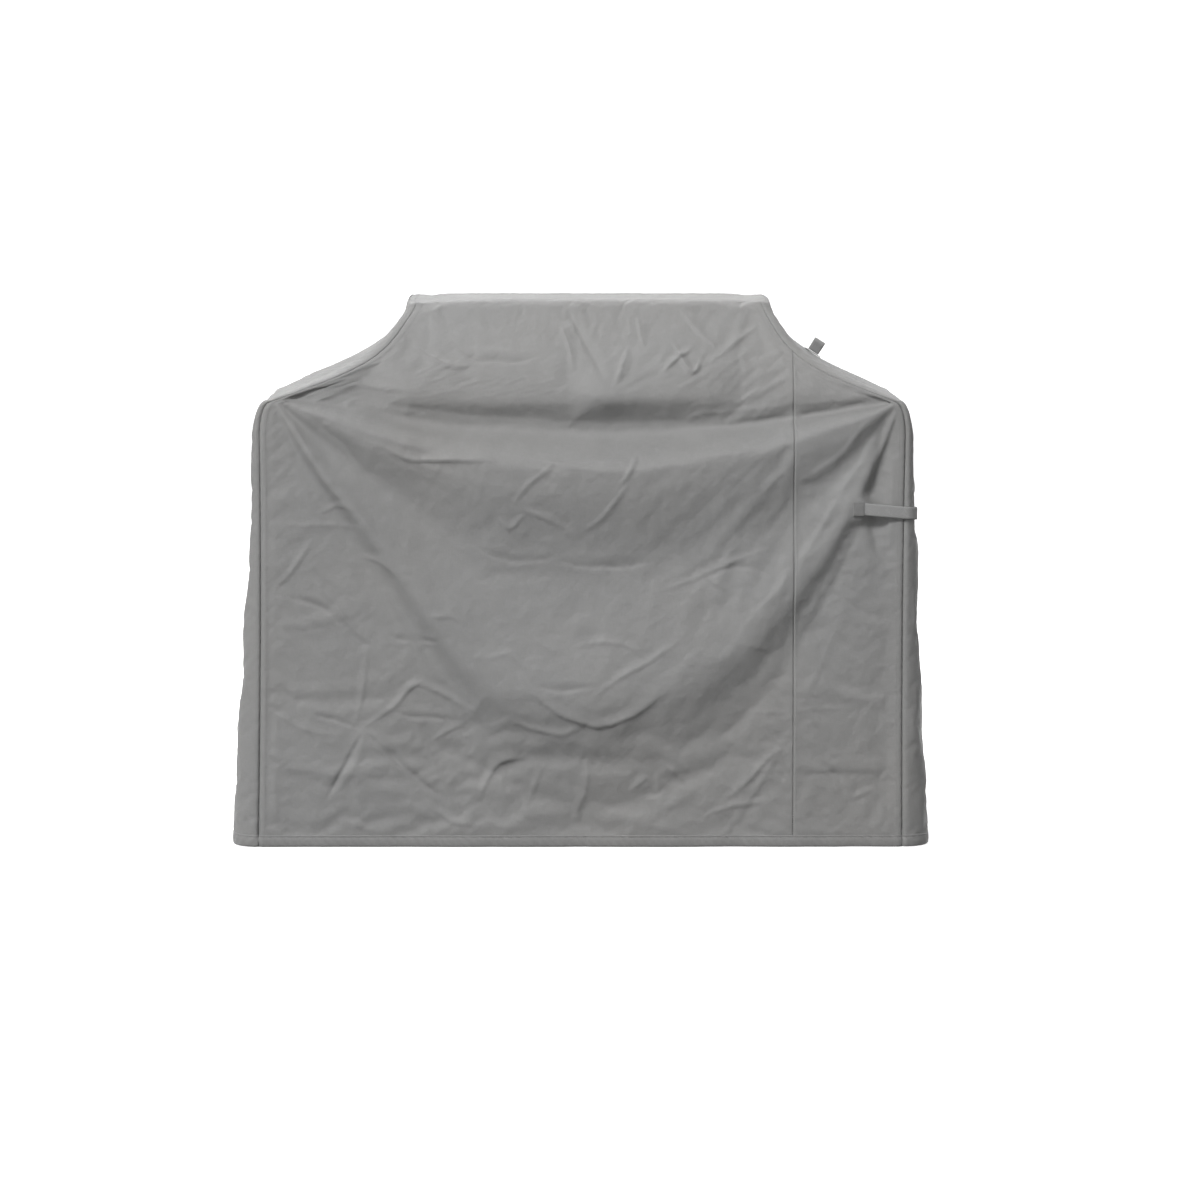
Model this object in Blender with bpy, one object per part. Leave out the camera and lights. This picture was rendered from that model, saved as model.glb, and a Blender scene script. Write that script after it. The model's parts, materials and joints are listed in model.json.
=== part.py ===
"""Grill cover, standing as it does over a three or four burner grill.

Metres, +Z up, front towards -Y, origin on the ground at the middle of the cover's box.
Every cloth piece is cut from one closed surface, described by a level outline (a rectangle with
round corners) at each height. A piece is the space between that surface at two depths, and
stops short of its neighbours by a small gap.
"""

import math

import bmesh
import bpy

# Overall size as worn
HEM_HALF_WIDTH = 0.7365
HEM_HALF_DEPTH = 0.2944
HEIGHT = 1.147

# Skirt, up to the shelf shoulders
SHELF_LEFT = 0.685
SHELF_RIGHT = 0.695
SHELF_HALF_DEPTH = 0.270
SHOULDER_START = 0.860
SHOULDER_TOP = 0.9375
SHOULDER_ROUND = 0.025
FLARE_POWER = 1.3
CORNER_AT_HEM = 0.058
CORNER_AT_SHELF = 0.012

# Sloping ends and flat hood top
HOOD_LEFT = 0.365
HOOD_RIGHT = 0.401
HOOD_FRONT = -0.110
HOOD_BACK = 0.240
CORNER_AT_HOOD = 0.006
SLOPE_START_SHARE = 0.6
SLOPE_POWER = 5.5

# How far the front and back stand out from the line between their corners, at the middle
FRONT_SWELL = ((0.0, 0.025), (0.45, 0.034), (0.77, 0.0455), (0.905, -0.018), (1.02, 0.0), (HEIGHT, 0.0))
BACK_SWELL = ((0.0, 0.025), (0.60, 0.022), (0.93, 0.0), (HEIGHT, 0.0))

# Cloth, seams and hems
CLOTH = 0.0025
GAP = 0.0003
HEM_HEIGHT = 0.025
HEM_PROUD = 0.0006
HEM_INSIDE = 0.0038
JOIN_X = 0.448
FILLER_TIP_WIDTH = 0.004
TAPE_WIDTH = 0.015
TAPE_THICKNESS = 0.0012
TAPE_CLEARANCE = 0.0016
TAPE_START = 0.031
TAPE_EDGE = 0.001
TOP_TAPE_SHARES = (0.955, 0.982)
TOP_TAPE_END = 0.030

# Cinch straps
WEBBING_WIDTH = 0.026
WEBBING_THICKNESS = 0.0016
STRAP_HINGE_X = 0.5965
STRAP_HINGE_Z = 0.7127
STRAP_SEAM_Z = 0.7050
STRAP_TIP_Z = 0.6980
STRAP_SIDE_RUN = 0.062
STRAP_START_STANDOFF = 0.0008
STRAP_SIDE_STANDOFF = 0.0043
ANCHOR_LENGTH = 0.025
ANCHOR_HEIGHT = 0.030
ANCHOR_THICKNESS = 0.0024
ANCHOR_TO_HINGE = 0.0012
HINGE_TO_WEBBING = 0.0002
PATCH_THICKNESS = 0.0012
PATCH_STANDOFF = 0.0012
PATCH_TO_TIP = 0.002
HOOK_PATCH_LENGTH = 0.040
HOOK_PATCH_WIDTH = 0.0208
LOOP_PATCH_LENGTH = 0.050
LOOP_PATCH_WIDTH = 0.0234

# Hanging loop on the right slope
LOOP_SHARES = (0.52, 0.67)
LOOP_Y = 0.19
LOOP_BASE_LENGTH = 0.040
LOOP_BASE_WIDTH = 0.034
LOOP_BASE_THICKNESS = 0.0012
LOOP_TAB = 0.008
LOOP_HEIGHT = 0.029
LOOP_HALF_THICK = 0.0085
LOOP_PIVOT_LIFT = 0.0022
LOOP_FOOT_TURN = math.radians(60)
EYE_START = math.radians(-50)
EYE_TURN = math.radians(280)

# How finely the surface is divided
SKIRT_LEVELS = (0.24, 0.46, 0.64, 0.77, 0.84, 0.88, 0.912)
SLOPE_SHARES = (0.0, 0.18, 0.36, 0.52, 0.67, 0.80, 0.89, 0.95, 1.0)
CORNER_STEPS = 4
FACE_STEPS = 10
SIDE_STEPS = 4
TOP_STEPS = 4
STRAP_STEPS = 3
EYE_STEPS = 8
LEAST_SHARE_STEP = 0.02
TIP_SEARCH_STEPS = 40

LEFT, RIGHT = -1, 1
FRONT, BACK = -1, 1

CLOTH_GREY = (0.21, 0.215, 0.22)
HEM_GREY = (0.20, 0.205, 0.21)
TAPE_GREY = (0.10, 0.10, 0.105)
WEBBING_GREY = (0.23, 0.235, 0.24)
PATCH_GREY = (0.12, 0.12, 0.125)


def smooth(share):
    share = min(1.0, max(0.0, share))
    return share * share * (3 - 2 * share)


def mix(a, b, share):
    return a + (b - a) * share


def read_curve(points, at):
    for (z0, v0), (z1, v1) in zip(points, points[1:]):
        if at <= z1:
            return mix(v0, v1, smooth((at - z0) / (z1 - z0)))
    return points[-1][1]


def slope_height(share):
    """Height on the sloping end: shallow over the shelf, steep against the hood."""
    rise = SLOPE_START_SHARE * share + (1 - SLOPE_START_SHARE) * share**SLOPE_POWER
    return mix(SHOULDER_TOP, HEIGHT, rise)


class Level:
    """One horizontal outline of the cover, at a height on the skirt or at a share of the slope."""

    def __init__(self, z=None, share=None):
        self.z = slope_height(share) if z is None else z
        drop = max(0.0, 1 - self.z / SHOULDER_TOP)
        if share is None:
            flare = drop**FLARE_POWER
            self.left = mix(SHELF_LEFT, HEM_HALF_WIDTH, flare)
            self.right = mix(SHELF_RIGHT, HEM_HALF_WIDTH, flare)
            turn = max(0.0, (self.z - SHOULDER_START) / (SHOULDER_TOP - SHOULDER_START))
            pull = SHOULDER_ROUND * (1 - math.sqrt(max(0.0, 1 - turn * turn)))
            self.left -= pull
            self.right -= pull
            self.front = -mix(SHELF_HALF_DEPTH, HEM_HALF_DEPTH, drop)
            self.back = -self.front
            self.corner = mix(CORNER_AT_SHELF, CORNER_AT_HEM, drop)
        else:
            self.left = mix(SHELF_LEFT - SHOULDER_ROUND, HOOD_LEFT, share)
            self.right = mix(SHELF_RIGHT - SHOULDER_ROUND, HOOD_RIGHT, share)
            rise = (self.z - SHOULDER_TOP) / (HEIGHT - SHOULDER_TOP)
            self.front = mix(-SHELF_HALF_DEPTH, HOOD_FRONT, rise)
            self.back = mix(SHELF_HALF_DEPTH, HOOD_BACK, rise)
            self.corner = mix(CORNER_AT_SHELF, CORNER_AT_HOOD, share)
        self.lean = smooth((self.z - SHOULDER_START) / (SHOULDER_TOP - SHOULDER_START))

    def height(self, depth):
        return self.z - depth * self.lean

    def seam_x(self, side):
        """Where the side seam sits on the front and back faces."""
        return side * ((self.left if side == LEFT else self.right) - self.corner)

    def side_x(self, side, depth):
        return side * ((self.left if side == LEFT else self.right) - depth)

    def face_y(self, face, depth, x):
        edge = self.front if face == FRONT else self.back
        middle = (self.seam_x(LEFT) + self.seam_x(RIGHT)) / 2
        half = (self.seam_x(RIGHT) - self.seam_x(LEFT)) / 2
        across = (x - middle) / half
        swell = read_curve(FRONT_SWELL if face == FRONT else BACK_SWELL, self.z)
        return edge + face * (swell * (1 - across * across) - depth)

    def face_point(self, face, depth, x):
        return (x, self.face_y(face, depth, x), self.height(depth))

    def corner_point(self, side, face, depth, share, clear=0.0):
        """A point on a round corner, from the face (share 0) to the side (share 1)."""
        radius = self.corner - depth
        angle = share * math.pi / 2
        if clear:
            angle = clear / radius
        x = self.seam_x(side) + side * radius * math.sin(angle)
        edge = self.front if face == FRONT else self.back
        y = edge - face * self.corner + face * radius * math.cos(angle)
        return (x, y, self.height(depth))


def material(name, colour, roughness):
    made = bpy.data.materials.new(name)
    made.use_nodes = True
    shader = made.node_tree.nodes["Principled BSDF"]
    shader.inputs["Base Color"].default_value = (*colour, 1.0)
    shader.inputs["Roughness"].default_value = roughness
    shader.inputs["Metallic"].default_value = 0.0
    return made


def add_object(name, bm, colour, roughness, parent=None):
    bmesh.ops.recalc_face_normals(bm, faces=bm.faces)
    mesh = bpy.data.meshes.new(name)
    bm.to_mesh(mesh)
    bm.free()
    obj = bpy.data.objects.new(name, mesh)
    obj.data.materials.append(material(name, colour, roughness))
    bpy.context.scene.collection.objects.link(obj)
    if parent:
        obj.parent = parent
        obj.matrix_parent_inverse = parent.matrix_world.inverted()
    return obj


def shell(name, outer, inner, colour, roughness=0.8, parent=None):
    """A closed solid between two grids of points of the same shape."""
    bm = bmesh.new()
    rows = len(outer)
    columns = len(outer[0])
    out = [[bm.verts.new(point) for point in row] for row in outer]
    back = [[bm.verts.new(point) for point in row] for row in inner]
    for grid in (out, back):
        for i in range(rows - 1):
            for j in range(columns - 1):
                bm.faces.new((grid[i][j], grid[i][j + 1], grid[i + 1][j + 1], grid[i + 1][j]))
    rim = [(0, j) for j in range(columns)]
    rim += [(i, columns - 1) for i in range(1, rows)]
    rim += [(rows - 1, j) for j in range(columns - 2, -1, -1)]
    rim += [(i, 0) for i in range(rows - 2, 0, -1)]
    for (i, j), (k, m) in zip(rim, rim[1:] + rim[:1]):
        bm.faces.new((out[i][j], out[k][m], back[k][m], back[i][j]))
    return add_object(name, bm, colour, roughness, parent)


def spread(start, end, steps):
    return [mix(start, end, i / steps) for i in range(steps + 1)]


def filler_tip():
    """The level where the slope seam meets the join seam, so that the filler ends in a point."""
    low, high = 0.0, 1.0
    for _ in range(TIP_SEARCH_STEPS):
        share = (low + high) / 2
        if Level(share=share).seam_x(RIGHT) > JOIN_X + FILLER_TIP_WIDTH:
            low = share
        else:
            high = share
    return low


def panel_levels():
    """The levels that every panel is divided at: those with the filler panel, then those above its tip."""
    tip = filler_tip()
    skirt = [Level(z=HEM_HEIGHT + GAP)] + [Level(z=z) for z in SKIRT_LEVELS]
    below = [Level(share=share) for share in SLOPE_SHARES if share < tip - LEAST_SHARE_STEP]
    above = [Level(share=share) for share in SLOPE_SHARES if share > tip + LEAST_SHARE_STEP]
    return skirt + below + [Level(share=tip)], above


def face_rows(levels, above, face, depth):
    rows = []
    for level in levels:
        xs = spread(level.seam_x(LEFT) + GAP / 2, JOIN_X - GAP / 2, FACE_STEPS)
        rows.append([level.face_point(face, depth, x) for x in xs])
    for level in above:
        xs = spread(level.seam_x(LEFT) + GAP / 2, level.seam_x(RIGHT) - GAP / 2, FACE_STEPS)
        rows.append([level.face_point(face, depth, x) for x in xs])
    return rows


def top_rows(depth):
    """The hood's flat top, from just behind its front edge to the rear top seam."""
    level = Level(share=1.0)
    z = HEIGHT - depth
    round_in = level.corner - depth
    angles = [math.pi / 2 * (i + 1) / CORNER_STEPS for i in range(CORNER_STEPS)]
    stations = [
        (round_in * (1 - math.sin(angle)), level.front + level.corner - round_in * math.cos(angle))
        for angle in angles
    ]
    straight = spread(level.front + level.corner, level.back - level.corner, TOP_STEPS)[1:-1]
    stations += [(0.0, y) for y in straight]
    stations += [
        (round_in * (1 - math.sin(angle)), level.back - level.corner + round_in * math.cos(angle))
        for angle in reversed(angles)
    ]
    stations.append((round_in, level.back - depth - GAP))
    rows = []
    for pull, y in stations:
        low = level.side_x(LEFT, depth) + pull + GAP
        high = level.side_x(RIGHT, depth) - pull - GAP
        rows.append([(x, y, z) for x in spread(low, high, FACE_STEPS)])
    return rows


def make_front():
    below, above = panel_levels()
    outer = face_rows(below, above, FRONT, 0.0) + top_rows(0.0)
    inner = face_rows(below, above, FRONT, CLOTH) + top_rows(CLOTH)
    shell("front_panel", outer, inner, CLOTH_GREY)


def make_back():
    below, above = panel_levels()
    outer = face_rows(below, above, BACK, 0.0)
    inner = face_rows(below, above, BACK, CLOTH)
    for row in (outer[-1], inner[-1]):
        row[:] = [(x, y, z - GAP) for x, y, z in row]
    shell("back_panel", outer, inner, CLOTH_GREY)


def make_filler(name, face):
    levels = panel_levels()[0]
    grids = []
    for depth in (0.0, CLOTH):
        rows = []
        for level in levels:
            xs = spread(JOIN_X + GAP / 2, level.seam_x(RIGHT) - GAP / 2, 3)
            rows.append([level.face_point(face, depth, x) for x in xs])
        grids.append(rows)
    shell(name, *grids, CLOTH_GREY)


def side_row(level, side, depth):
    """Along one side at one level, from the front seam round both corners to the back seam."""
    row = [level.corner_point(side, FRONT, depth, 0.0, clear=GAP / 2)]
    row += [level.corner_point(side, FRONT, depth, i / CORNER_STEPS) for i in range(1, CORNER_STEPS + 1)]
    ends = (level.front + level.corner, level.back - level.corner)
    row += [(level.side_x(side, depth), y, level.height(depth)) for y in spread(*ends, SIDE_STEPS)[1:-1]]
    row += [level.corner_point(side, BACK, depth, i / CORNER_STEPS) for i in range(CORNER_STEPS, 0, -1)]
    row.append(level.corner_point(side, BACK, depth, 0.0, clear=GAP / 2))
    return row


def make_side(name, side):
    below, above = panel_levels()
    grids = []
    for depth in (0.0, CLOTH):
        rows = [side_row(level, side, depth) for level in below + above]
        rows[-1] = [(x, y, z - GAP) for x, y, z in rows[-1]]
        grids.append(rows)
    shell(name, *grids, CLOTH_GREY)


def make_hems():
    levels = [Level(z=0.0), Level(z=HEM_HEIGHT)]
    depths = (-HEM_PROUD, HEM_INSIDE)
    for name, face in (("front_hem", FRONT), ("back_hem", BACK)):
        grids = []
        for depth in depths:
            ends = [(level.seam_x(LEFT) + GAP / 2, level.seam_x(RIGHT) - GAP / 2) for level in levels]
            grids.append([
                [level.face_point(face, depth, x) for x in spread(*end, FACE_STEPS)]
                for level, end in zip(levels, ends)
            ])
        shell(name, *grids, HEM_GREY)
    for name, side in (("left_hem", LEFT), ("right_hem", RIGHT)):
        grids = [[side_row(level, side, depth) for level in levels] for depth in depths]
        shell(name, *grids, HEM_GREY)


def make_face_tape(name, face, x_range, levels):
    """A flat tape inside a face panel, between two x positions at each level."""
    grids = []
    near = CLOTH + TAPE_CLEARANCE
    for depth in (near, near + TAPE_THICKNESS):
        grids.append([[level.face_point(face, depth, x) for x in x_range(level)] for level in levels])
    shell(name, *grids, TAPE_GREY)


def make_tapes():
    below, above = panel_levels()
    levels = [Level(z=TAPE_START)] + below[1:] + above[:-1]
    half = TAPE_WIDTH / 2
    for face, face_name in ((FRONT, "front"), (BACK, "back")):
        for side, side_name in ((LEFT, "left"), (RIGHT, "right")):
            make_face_tape(
                f"{face_name}_{side_name}_seam_tape",
                face,
                lambda level, side=side: sorted(
                    level.seam_x(side) - side * inward for inward in (TAPE_EDGE, TAPE_EDGE + TAPE_WIDTH)
                ),
                levels,
            )
        join = [level for level in levels if level.seam_x(RIGHT) > JOIN_X + 2 * TAPE_WIDTH]
        make_face_tape(f"{face_name}_join_seam_tape", face, lambda level: (JOIN_X - half, JOIN_X + half), join)

    # Below the flat top's edges, on the sloping side panels and on the back panel.
    hood = Level(share=1.0)
    top = [Level(share=share) for share in TOP_TAPE_SHARES]
    near = CLOTH + TAPE_CLEARANCE
    ys = (hood.front + TOP_TAPE_END, hood.back - TOP_TAPE_END)
    for side, side_name in ((LEFT, "left"), (RIGHT, "right")):
        grids = [
            [[(level.side_x(side, depth), y, level.height(depth)) for y in ys] for level in top]
            for depth in (near, near + TAPE_THICKNESS)
        ]
        shell(f"top_{side_name}_seam_tape", *grids, TAPE_GREY)
    xs = (-hood.left + TOP_TAPE_END, hood.right - TOP_TAPE_END)
    make_face_tape("top_rear_seam_tape", BACK, lambda level: xs, top)


def strap_path(side, face, standoffs):
    """Plan points of the strap from its hinge, across the face, round the corner and along the side.

    Each is given as near and far points of the webbing, so that its thickness follows the corner.
    """
    level = Level(z=STRAP_SEAM_Z)
    seam = level.seam_x(side)
    hinge = side * STRAP_HINGE_X
    path = []
    for x in spread(hinge + side * HINGE_TO_WEBBING, seam, STRAP_STEPS):
        run = abs(x - hinge) / abs(seam - hinge)
        off = mix(standoffs[0], standoffs[1], run)
        z = mix(STRAP_HINGE_Z, STRAP_SEAM_Z, run)
        path.append([level.face_point(face, -d, x)[:2] + (z,) for d in (off, off + WEBBING_THICKNESS)])
    off = standoffs[1]
    run_along_side = CORNER_STEPS + STRAP_STEPS
    for i in range(1, CORNER_STEPS + 1):
        z = mix(STRAP_SEAM_Z, STRAP_TIP_Z, i / run_along_side)
        path.append([
            level.corner_point(side, face, -d, i / CORNER_STEPS)[:2] + (z,)
            for d in (off, off + WEBBING_THICKNESS)
        ])
    edge = level.front if face == FRONT else level.back
    for i in range(1, STRAP_STEPS + 1):
        z = mix(STRAP_SEAM_Z, STRAP_TIP_Z, (CORNER_STEPS + i) / run_along_side)
        y = edge - face * (level.corner + STRAP_SIDE_RUN * i / STRAP_STEPS)
        path.append([(level.side_x(side, -d), y, z) for d in (off, off + WEBBING_THICKNESS)])
    return path


def strip_from_path(name, path, width, colour, parent=None):
    grids = []
    for layer in (0, 1):
        grids.append([
            [(point[layer][0], point[layer][1], point[layer][2] + dz) for dz in (-width / 2, width / 2)]
            for point in path
        ])
    shell(name, *grids, colour, 0.75, parent)


def side_patch(name, side, face, off, length, width, parent=None):
    """A flat rectangle on the side panel under the strap's free end."""
    level = Level(z=STRAP_SEAM_Z)
    edge = level.front if face == FRONT else level.back
    middle = edge - face * (level.corner + STRAP_SIDE_RUN - HOOK_PATCH_LENGTH / 2 - PATCH_TO_TIP)
    grids = []
    for depth in (-off, -off - PATCH_THICKNESS):
        grids.append([
            [(level.side_x(side, depth), middle + dy, STRAP_TIP_Z + dz) for dz in (-width / 2, width / 2)]
            for dy in (-length / 2, length / 2)
        ])
    shell(name, *grids, PATCH_GREY, 0.9, parent)


def make_strap(prefix, side, face):
    level = Level(z=STRAP_HINGE_Z)
    x = side * STRAP_HINGE_X
    axis_off = STRAP_START_STANDOFF + WEBBING_THICKNESS / 2
    pivot = bpy.data.objects.new(f"{prefix}_pivot", None)
    pivot.location = (x, level.face_y(face, -axis_off, x), STRAP_HINGE_Z)
    bpy.context.scene.collection.objects.link(pivot)
    bpy.context.view_layer.update()
    path = strap_path(side, face, (STRAP_START_STANDOFF, STRAP_SIDE_STANDOFF))
    strip_from_path(prefix, path, WEBBING_WIDTH, WEBBING_GREY, pivot)
    hook_off = PATCH_STANDOFF + PATCH_THICKNESS + GAP
    side_patch(f"{prefix}_loop_patch", side, face, PATCH_STANDOFF, LOOP_PATCH_LENGTH, LOOP_PATCH_WIDTH)
    side_patch(f"{prefix}_hook_patch", side, face, hook_off, HOOK_PATCH_LENGTH, HOOK_PATCH_WIDTH, pivot)
    near = x - side * ANCHOR_TO_HINGE
    xs = (near - side * ANCHOR_LENGTH, near)
    grids = []
    for depth in (-2 * GAP, -2 * GAP - ANCHOR_THICKNESS):
        grids.append([
            [level.face_point(face, depth, x)[:2] + (STRAP_HINGE_Z + dz,) for x in xs]
            for dz in (-ANCHOR_HEIGHT / 2, ANCHOR_HEIGHT / 2)
        ])
    shell(f"{prefix}_anchor", *grids, CLOTH_GREY)


def loop_frame():
    """The middle of the flat stretch of the right slope under the hanging loop, and its directions."""
    lower, upper = (Level(share=share) for share in LOOP_SHARES)
    run = lower.right - upper.right
    fall = lower.z - upper.z
    length = math.hypot(run, fall)
    tangent = (run / length, 0.0, fall / length)
    normal = (-tangent[2], 0.0, tangent[0])
    middle = (mix(lower.right, upper.right, 0.5), LOOP_Y, mix(lower.z, upper.z, 0.5))
    return middle, tangent, normal


def place(origin, tangent, normal, along, y, up):
    return tuple(origin[i] + tangent[i] * along + normal[i] * up + (y if i == 1 else 0.0) for i in range(3))


def teardrop(inset):
    """The round eye at the loop's end, as (y, height) pairs, open at its foot."""
    eye = LOOP_HALF_THICK - inset
    centre = LOOP_HEIGHT - LOOP_HALF_THICK
    points = []
    for i in range(EYE_STEPS + 1):
        angle = EYE_START + EYE_TURN * i / EYE_STEPS
        points.append((eye * math.cos(angle), centre + eye * math.sin(angle)))
    return points


def make_loop():
    origin, tangent, normal = loop_frame()
    lift = 2 * GAP
    grids = []
    half_length = LOOP_BASE_LENGTH / 2
    for up in (lift, lift + LOOP_BASE_THICKNESS):
        grids.append([
            [place(origin, tangent, normal, along, y, up) for along in (-half_length, half_length)]
            for y in (-LOOP_BASE_WIDTH / 2, LOOP_BASE_WIDTH / 2)
        ])
    shell("hanging_loop_base", *grids, CLOTH_GREY)

    pivot_up = lift + LOOP_BASE_THICKNESS + LOOP_PIVOT_LIFT
    pivot = bpy.data.objects.new("hanging_loop_pivot", None)
    pivot.location = place(origin, tangent, normal, 0.0, 0.0, pivot_up)
    bpy.context.scene.collection.objects.link(pivot)
    bpy.context.view_layer.update()

    # The tab's foot is round about the pivot, so the loop can flop either way on its base.
    foot = [
        (WEBBING_THICKNESS * math.sin(angle), -WEBBING_THICKNESS * math.cos(angle))
        for angle in (-LOOP_FOOT_TURN, 0.0, LOOP_FOOT_TURN)
    ]
    tab_top = (WEBBING_THICKNESS, LOOP_TAB)
    outer = foot + [tab_top] + teardrop(0.0) + [(-tab_top[0], tab_top[1])]
    inner = teardrop(WEBBING_THICKNESS)
    inner.append((0.0, LOOP_TAB + 2 * WEBBING_THICKNESS))
    bm = bmesh.new()
    half = WEBBING_WIDTH / 2
    ends = []
    for along in (-half, half):
        rings = []
        for outline in (outer, inner):
            points = [place(origin, tangent, normal, along, y, pivot_up + up) for y, up in outline]
            rings.append([bm.verts.new(point) for point in points])
        ends.append(rings)
    for k in (0, 1):
        first, second = ends[0][k], ends[1][k]
        count = len(first)
        for i in range(count):
            j = (i + 1) % count
            bm.faces.new((first[i], first[j], second[j], second[i]))
    for rings in ends:
        edges = []
        for ring in rings:
            for i, vert in enumerate(ring):
                edges.append(bm.edges.get((vert, ring[(i + 1) % len(ring)])))
        bmesh.ops.triangle_fill(bm, use_beauty=True, use_dissolve=False, edges=edges)
    add_object("hanging_loop", bm, WEBBING_GREY, 0.75, pivot)


def main():
    for obj in list(bpy.data.objects):
        bpy.data.objects.remove(obj, do_unlink=True)
    make_front()
    make_back()
    make_filler("front_filler_panel", FRONT)
    make_filler("back_filler_panel", BACK)
    make_side("left_side_panel", LEFT)
    make_side("right_side_panel", RIGHT)
    make_hems()
    make_tapes()
    make_strap("right_strap", RIGHT, FRONT)
    make_strap("left_strap", LEFT, BACK)
    make_loop()


main()
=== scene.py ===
"""The looks of the grill cover: draped cloth panels, hems, seams, stitching, straps and loop."""

import json
import math

import bmesh
import bpy
import numpy as np
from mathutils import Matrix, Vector


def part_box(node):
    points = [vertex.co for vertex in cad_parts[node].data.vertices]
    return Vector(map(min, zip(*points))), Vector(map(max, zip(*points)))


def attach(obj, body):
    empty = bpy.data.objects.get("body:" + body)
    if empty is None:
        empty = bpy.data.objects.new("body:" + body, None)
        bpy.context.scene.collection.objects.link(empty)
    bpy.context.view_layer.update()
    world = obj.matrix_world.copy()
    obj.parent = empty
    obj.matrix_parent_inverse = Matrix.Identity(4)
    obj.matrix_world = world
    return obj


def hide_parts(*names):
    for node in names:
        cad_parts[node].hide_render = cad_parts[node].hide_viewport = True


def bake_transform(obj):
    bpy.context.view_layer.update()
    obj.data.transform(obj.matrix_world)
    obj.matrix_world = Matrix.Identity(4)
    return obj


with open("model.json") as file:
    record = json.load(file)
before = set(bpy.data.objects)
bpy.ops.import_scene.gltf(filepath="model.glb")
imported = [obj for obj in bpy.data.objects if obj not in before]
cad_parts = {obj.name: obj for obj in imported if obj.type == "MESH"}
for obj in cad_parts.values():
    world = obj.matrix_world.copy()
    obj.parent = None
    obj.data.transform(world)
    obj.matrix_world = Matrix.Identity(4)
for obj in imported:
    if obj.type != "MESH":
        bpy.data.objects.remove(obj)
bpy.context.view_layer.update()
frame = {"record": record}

# ---------------------------------------------------------------- sizes, read from the frame

HALF_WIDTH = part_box("right_hem")[1][0] - 0.0006
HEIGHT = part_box("front_panel")[1][2]
HEM_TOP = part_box("front_hem")[1][2]
JOIN_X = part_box("front_panel")[1][0]
HOOD_LEFT = 0.006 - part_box("left_side_panel")[1][0]
HOOD_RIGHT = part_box("right_side_panel")[0][0] + 0.006
HOOD_CORNER = 0.018
HOOD_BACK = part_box("front_panel")[1][1]
HOOD_FRONT = -0.110
SHELF_LEFT = 0.685
SHELF_RIGHT = 0.695
SHELF_DEPTH = 0.270
HEM_DEPTH = -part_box("left_hem")[0][1] - 0.0006
SHOULDER_START = 0.860
SHOULDER_TOP = 0.9375
SHOULDER_ROUND = 0.025
CORNER_AT_HEM = 0.058
CORNER_AT_SHELF = 0.012

CLOTH = 0.0008  # its thickness
CLOTH_LOW = HEM_TOP - 0.005  # the panels go on a little way behind their hems
SEAM_ROLL = 0.0022  # how far a panel's edge rolls in at a corner seam
JOIN_ROLL = 0.0003  # and at the flat join between a panel and its filler
GRID = 0.0052  # the distance between a panel's points
FRONT_GRID = 0.0042
FRONT_SPARE = 0.0025  # the cloth that a panel has over, as a share, when it settles
BACK_SPARE = 0.006
BACK_FILLER_SPARE = 0.005
SIDE_SPARE = 0.006
TAPE_WIDTH = 0.015
JOIN_TAPE_WIDTH = 0.0145
TAPE_TOP = 1.116
STITCH_IN = 0.0135  # from a panel's edge to the stitching beside its seam
STITCH_LIFT = 0.0001
ANCHOR_THICK = 0.0024
ANCHOR_HALF = (0.0125, 0.0150)  # along the strap and up
LOOP_BASE_HALF = (0.0198, 0.0168)  # along the slope and back
LEFT, RIGHT = -1, 1
FRONT, BACK = -1, 1


def smooth(t):
    t = np.clip(t, 0.0, 1.0)
    return t * t * (3 - 2 * t)


def mix(a, b, t):
    return a + (b - a) * t


def unit(vectors):
    """The same directions with length 1."""
    return vectors / np.linalg.norm(vectors, axis=-1, keepdims=True)


def run_along(points):
    """The length along a line of points, from 0 at its first."""
    return np.concatenate([[0], np.cumsum(np.linalg.norm(np.diff(points, axis=0), axis=1))])


def read_at(at, run, values):
    """Points or directions read off at some lengths along a run."""
    return np.stack([np.interp(at, run, values[:, k]) for k in range(3)], -1)


def box_of(node):
    """A CAD node's two box corners and its middle."""
    low, high = (np.array(corner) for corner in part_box(node))
    return low, high, (low + high) / 2


def joint_of(name):
    return next(j for j in frame["record"]["behaviour"]["joints"] if j["name"] == name)


def anchor_tilt(anchor):
    """How far a strap's anchor leans along y over its length in x."""
    low, high, _ = box_of(anchor)
    return ((high[1] - low[1]) - ANCHOR_THICK) / (high[0] - low[0])


def keys(points, at):
    """A smooth curve through a few (place, value) pairs."""
    places = np.array([p for p, _ in points])
    values = np.array([v for _, v in points])
    index = np.clip(np.searchsorted(places, at) - 1, 0, len(places) - 2)
    share = smooth((at - places[index]) / (places[index + 1] - places[index]))
    return mix(values[index], values[index + 1], share)


# ---------------------------------------------------------------- the surface that the panels follow

SHARES = np.linspace(0, 1, 400)
SLOPE_Z = mix(SHOULDER_TOP, HEIGHT, 0.6 * SHARES + 0.4 * SHARES**5.5)
EDGE_Z = np.linspace(-0.1, HEIGHT + 0.1, 2495)


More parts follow.
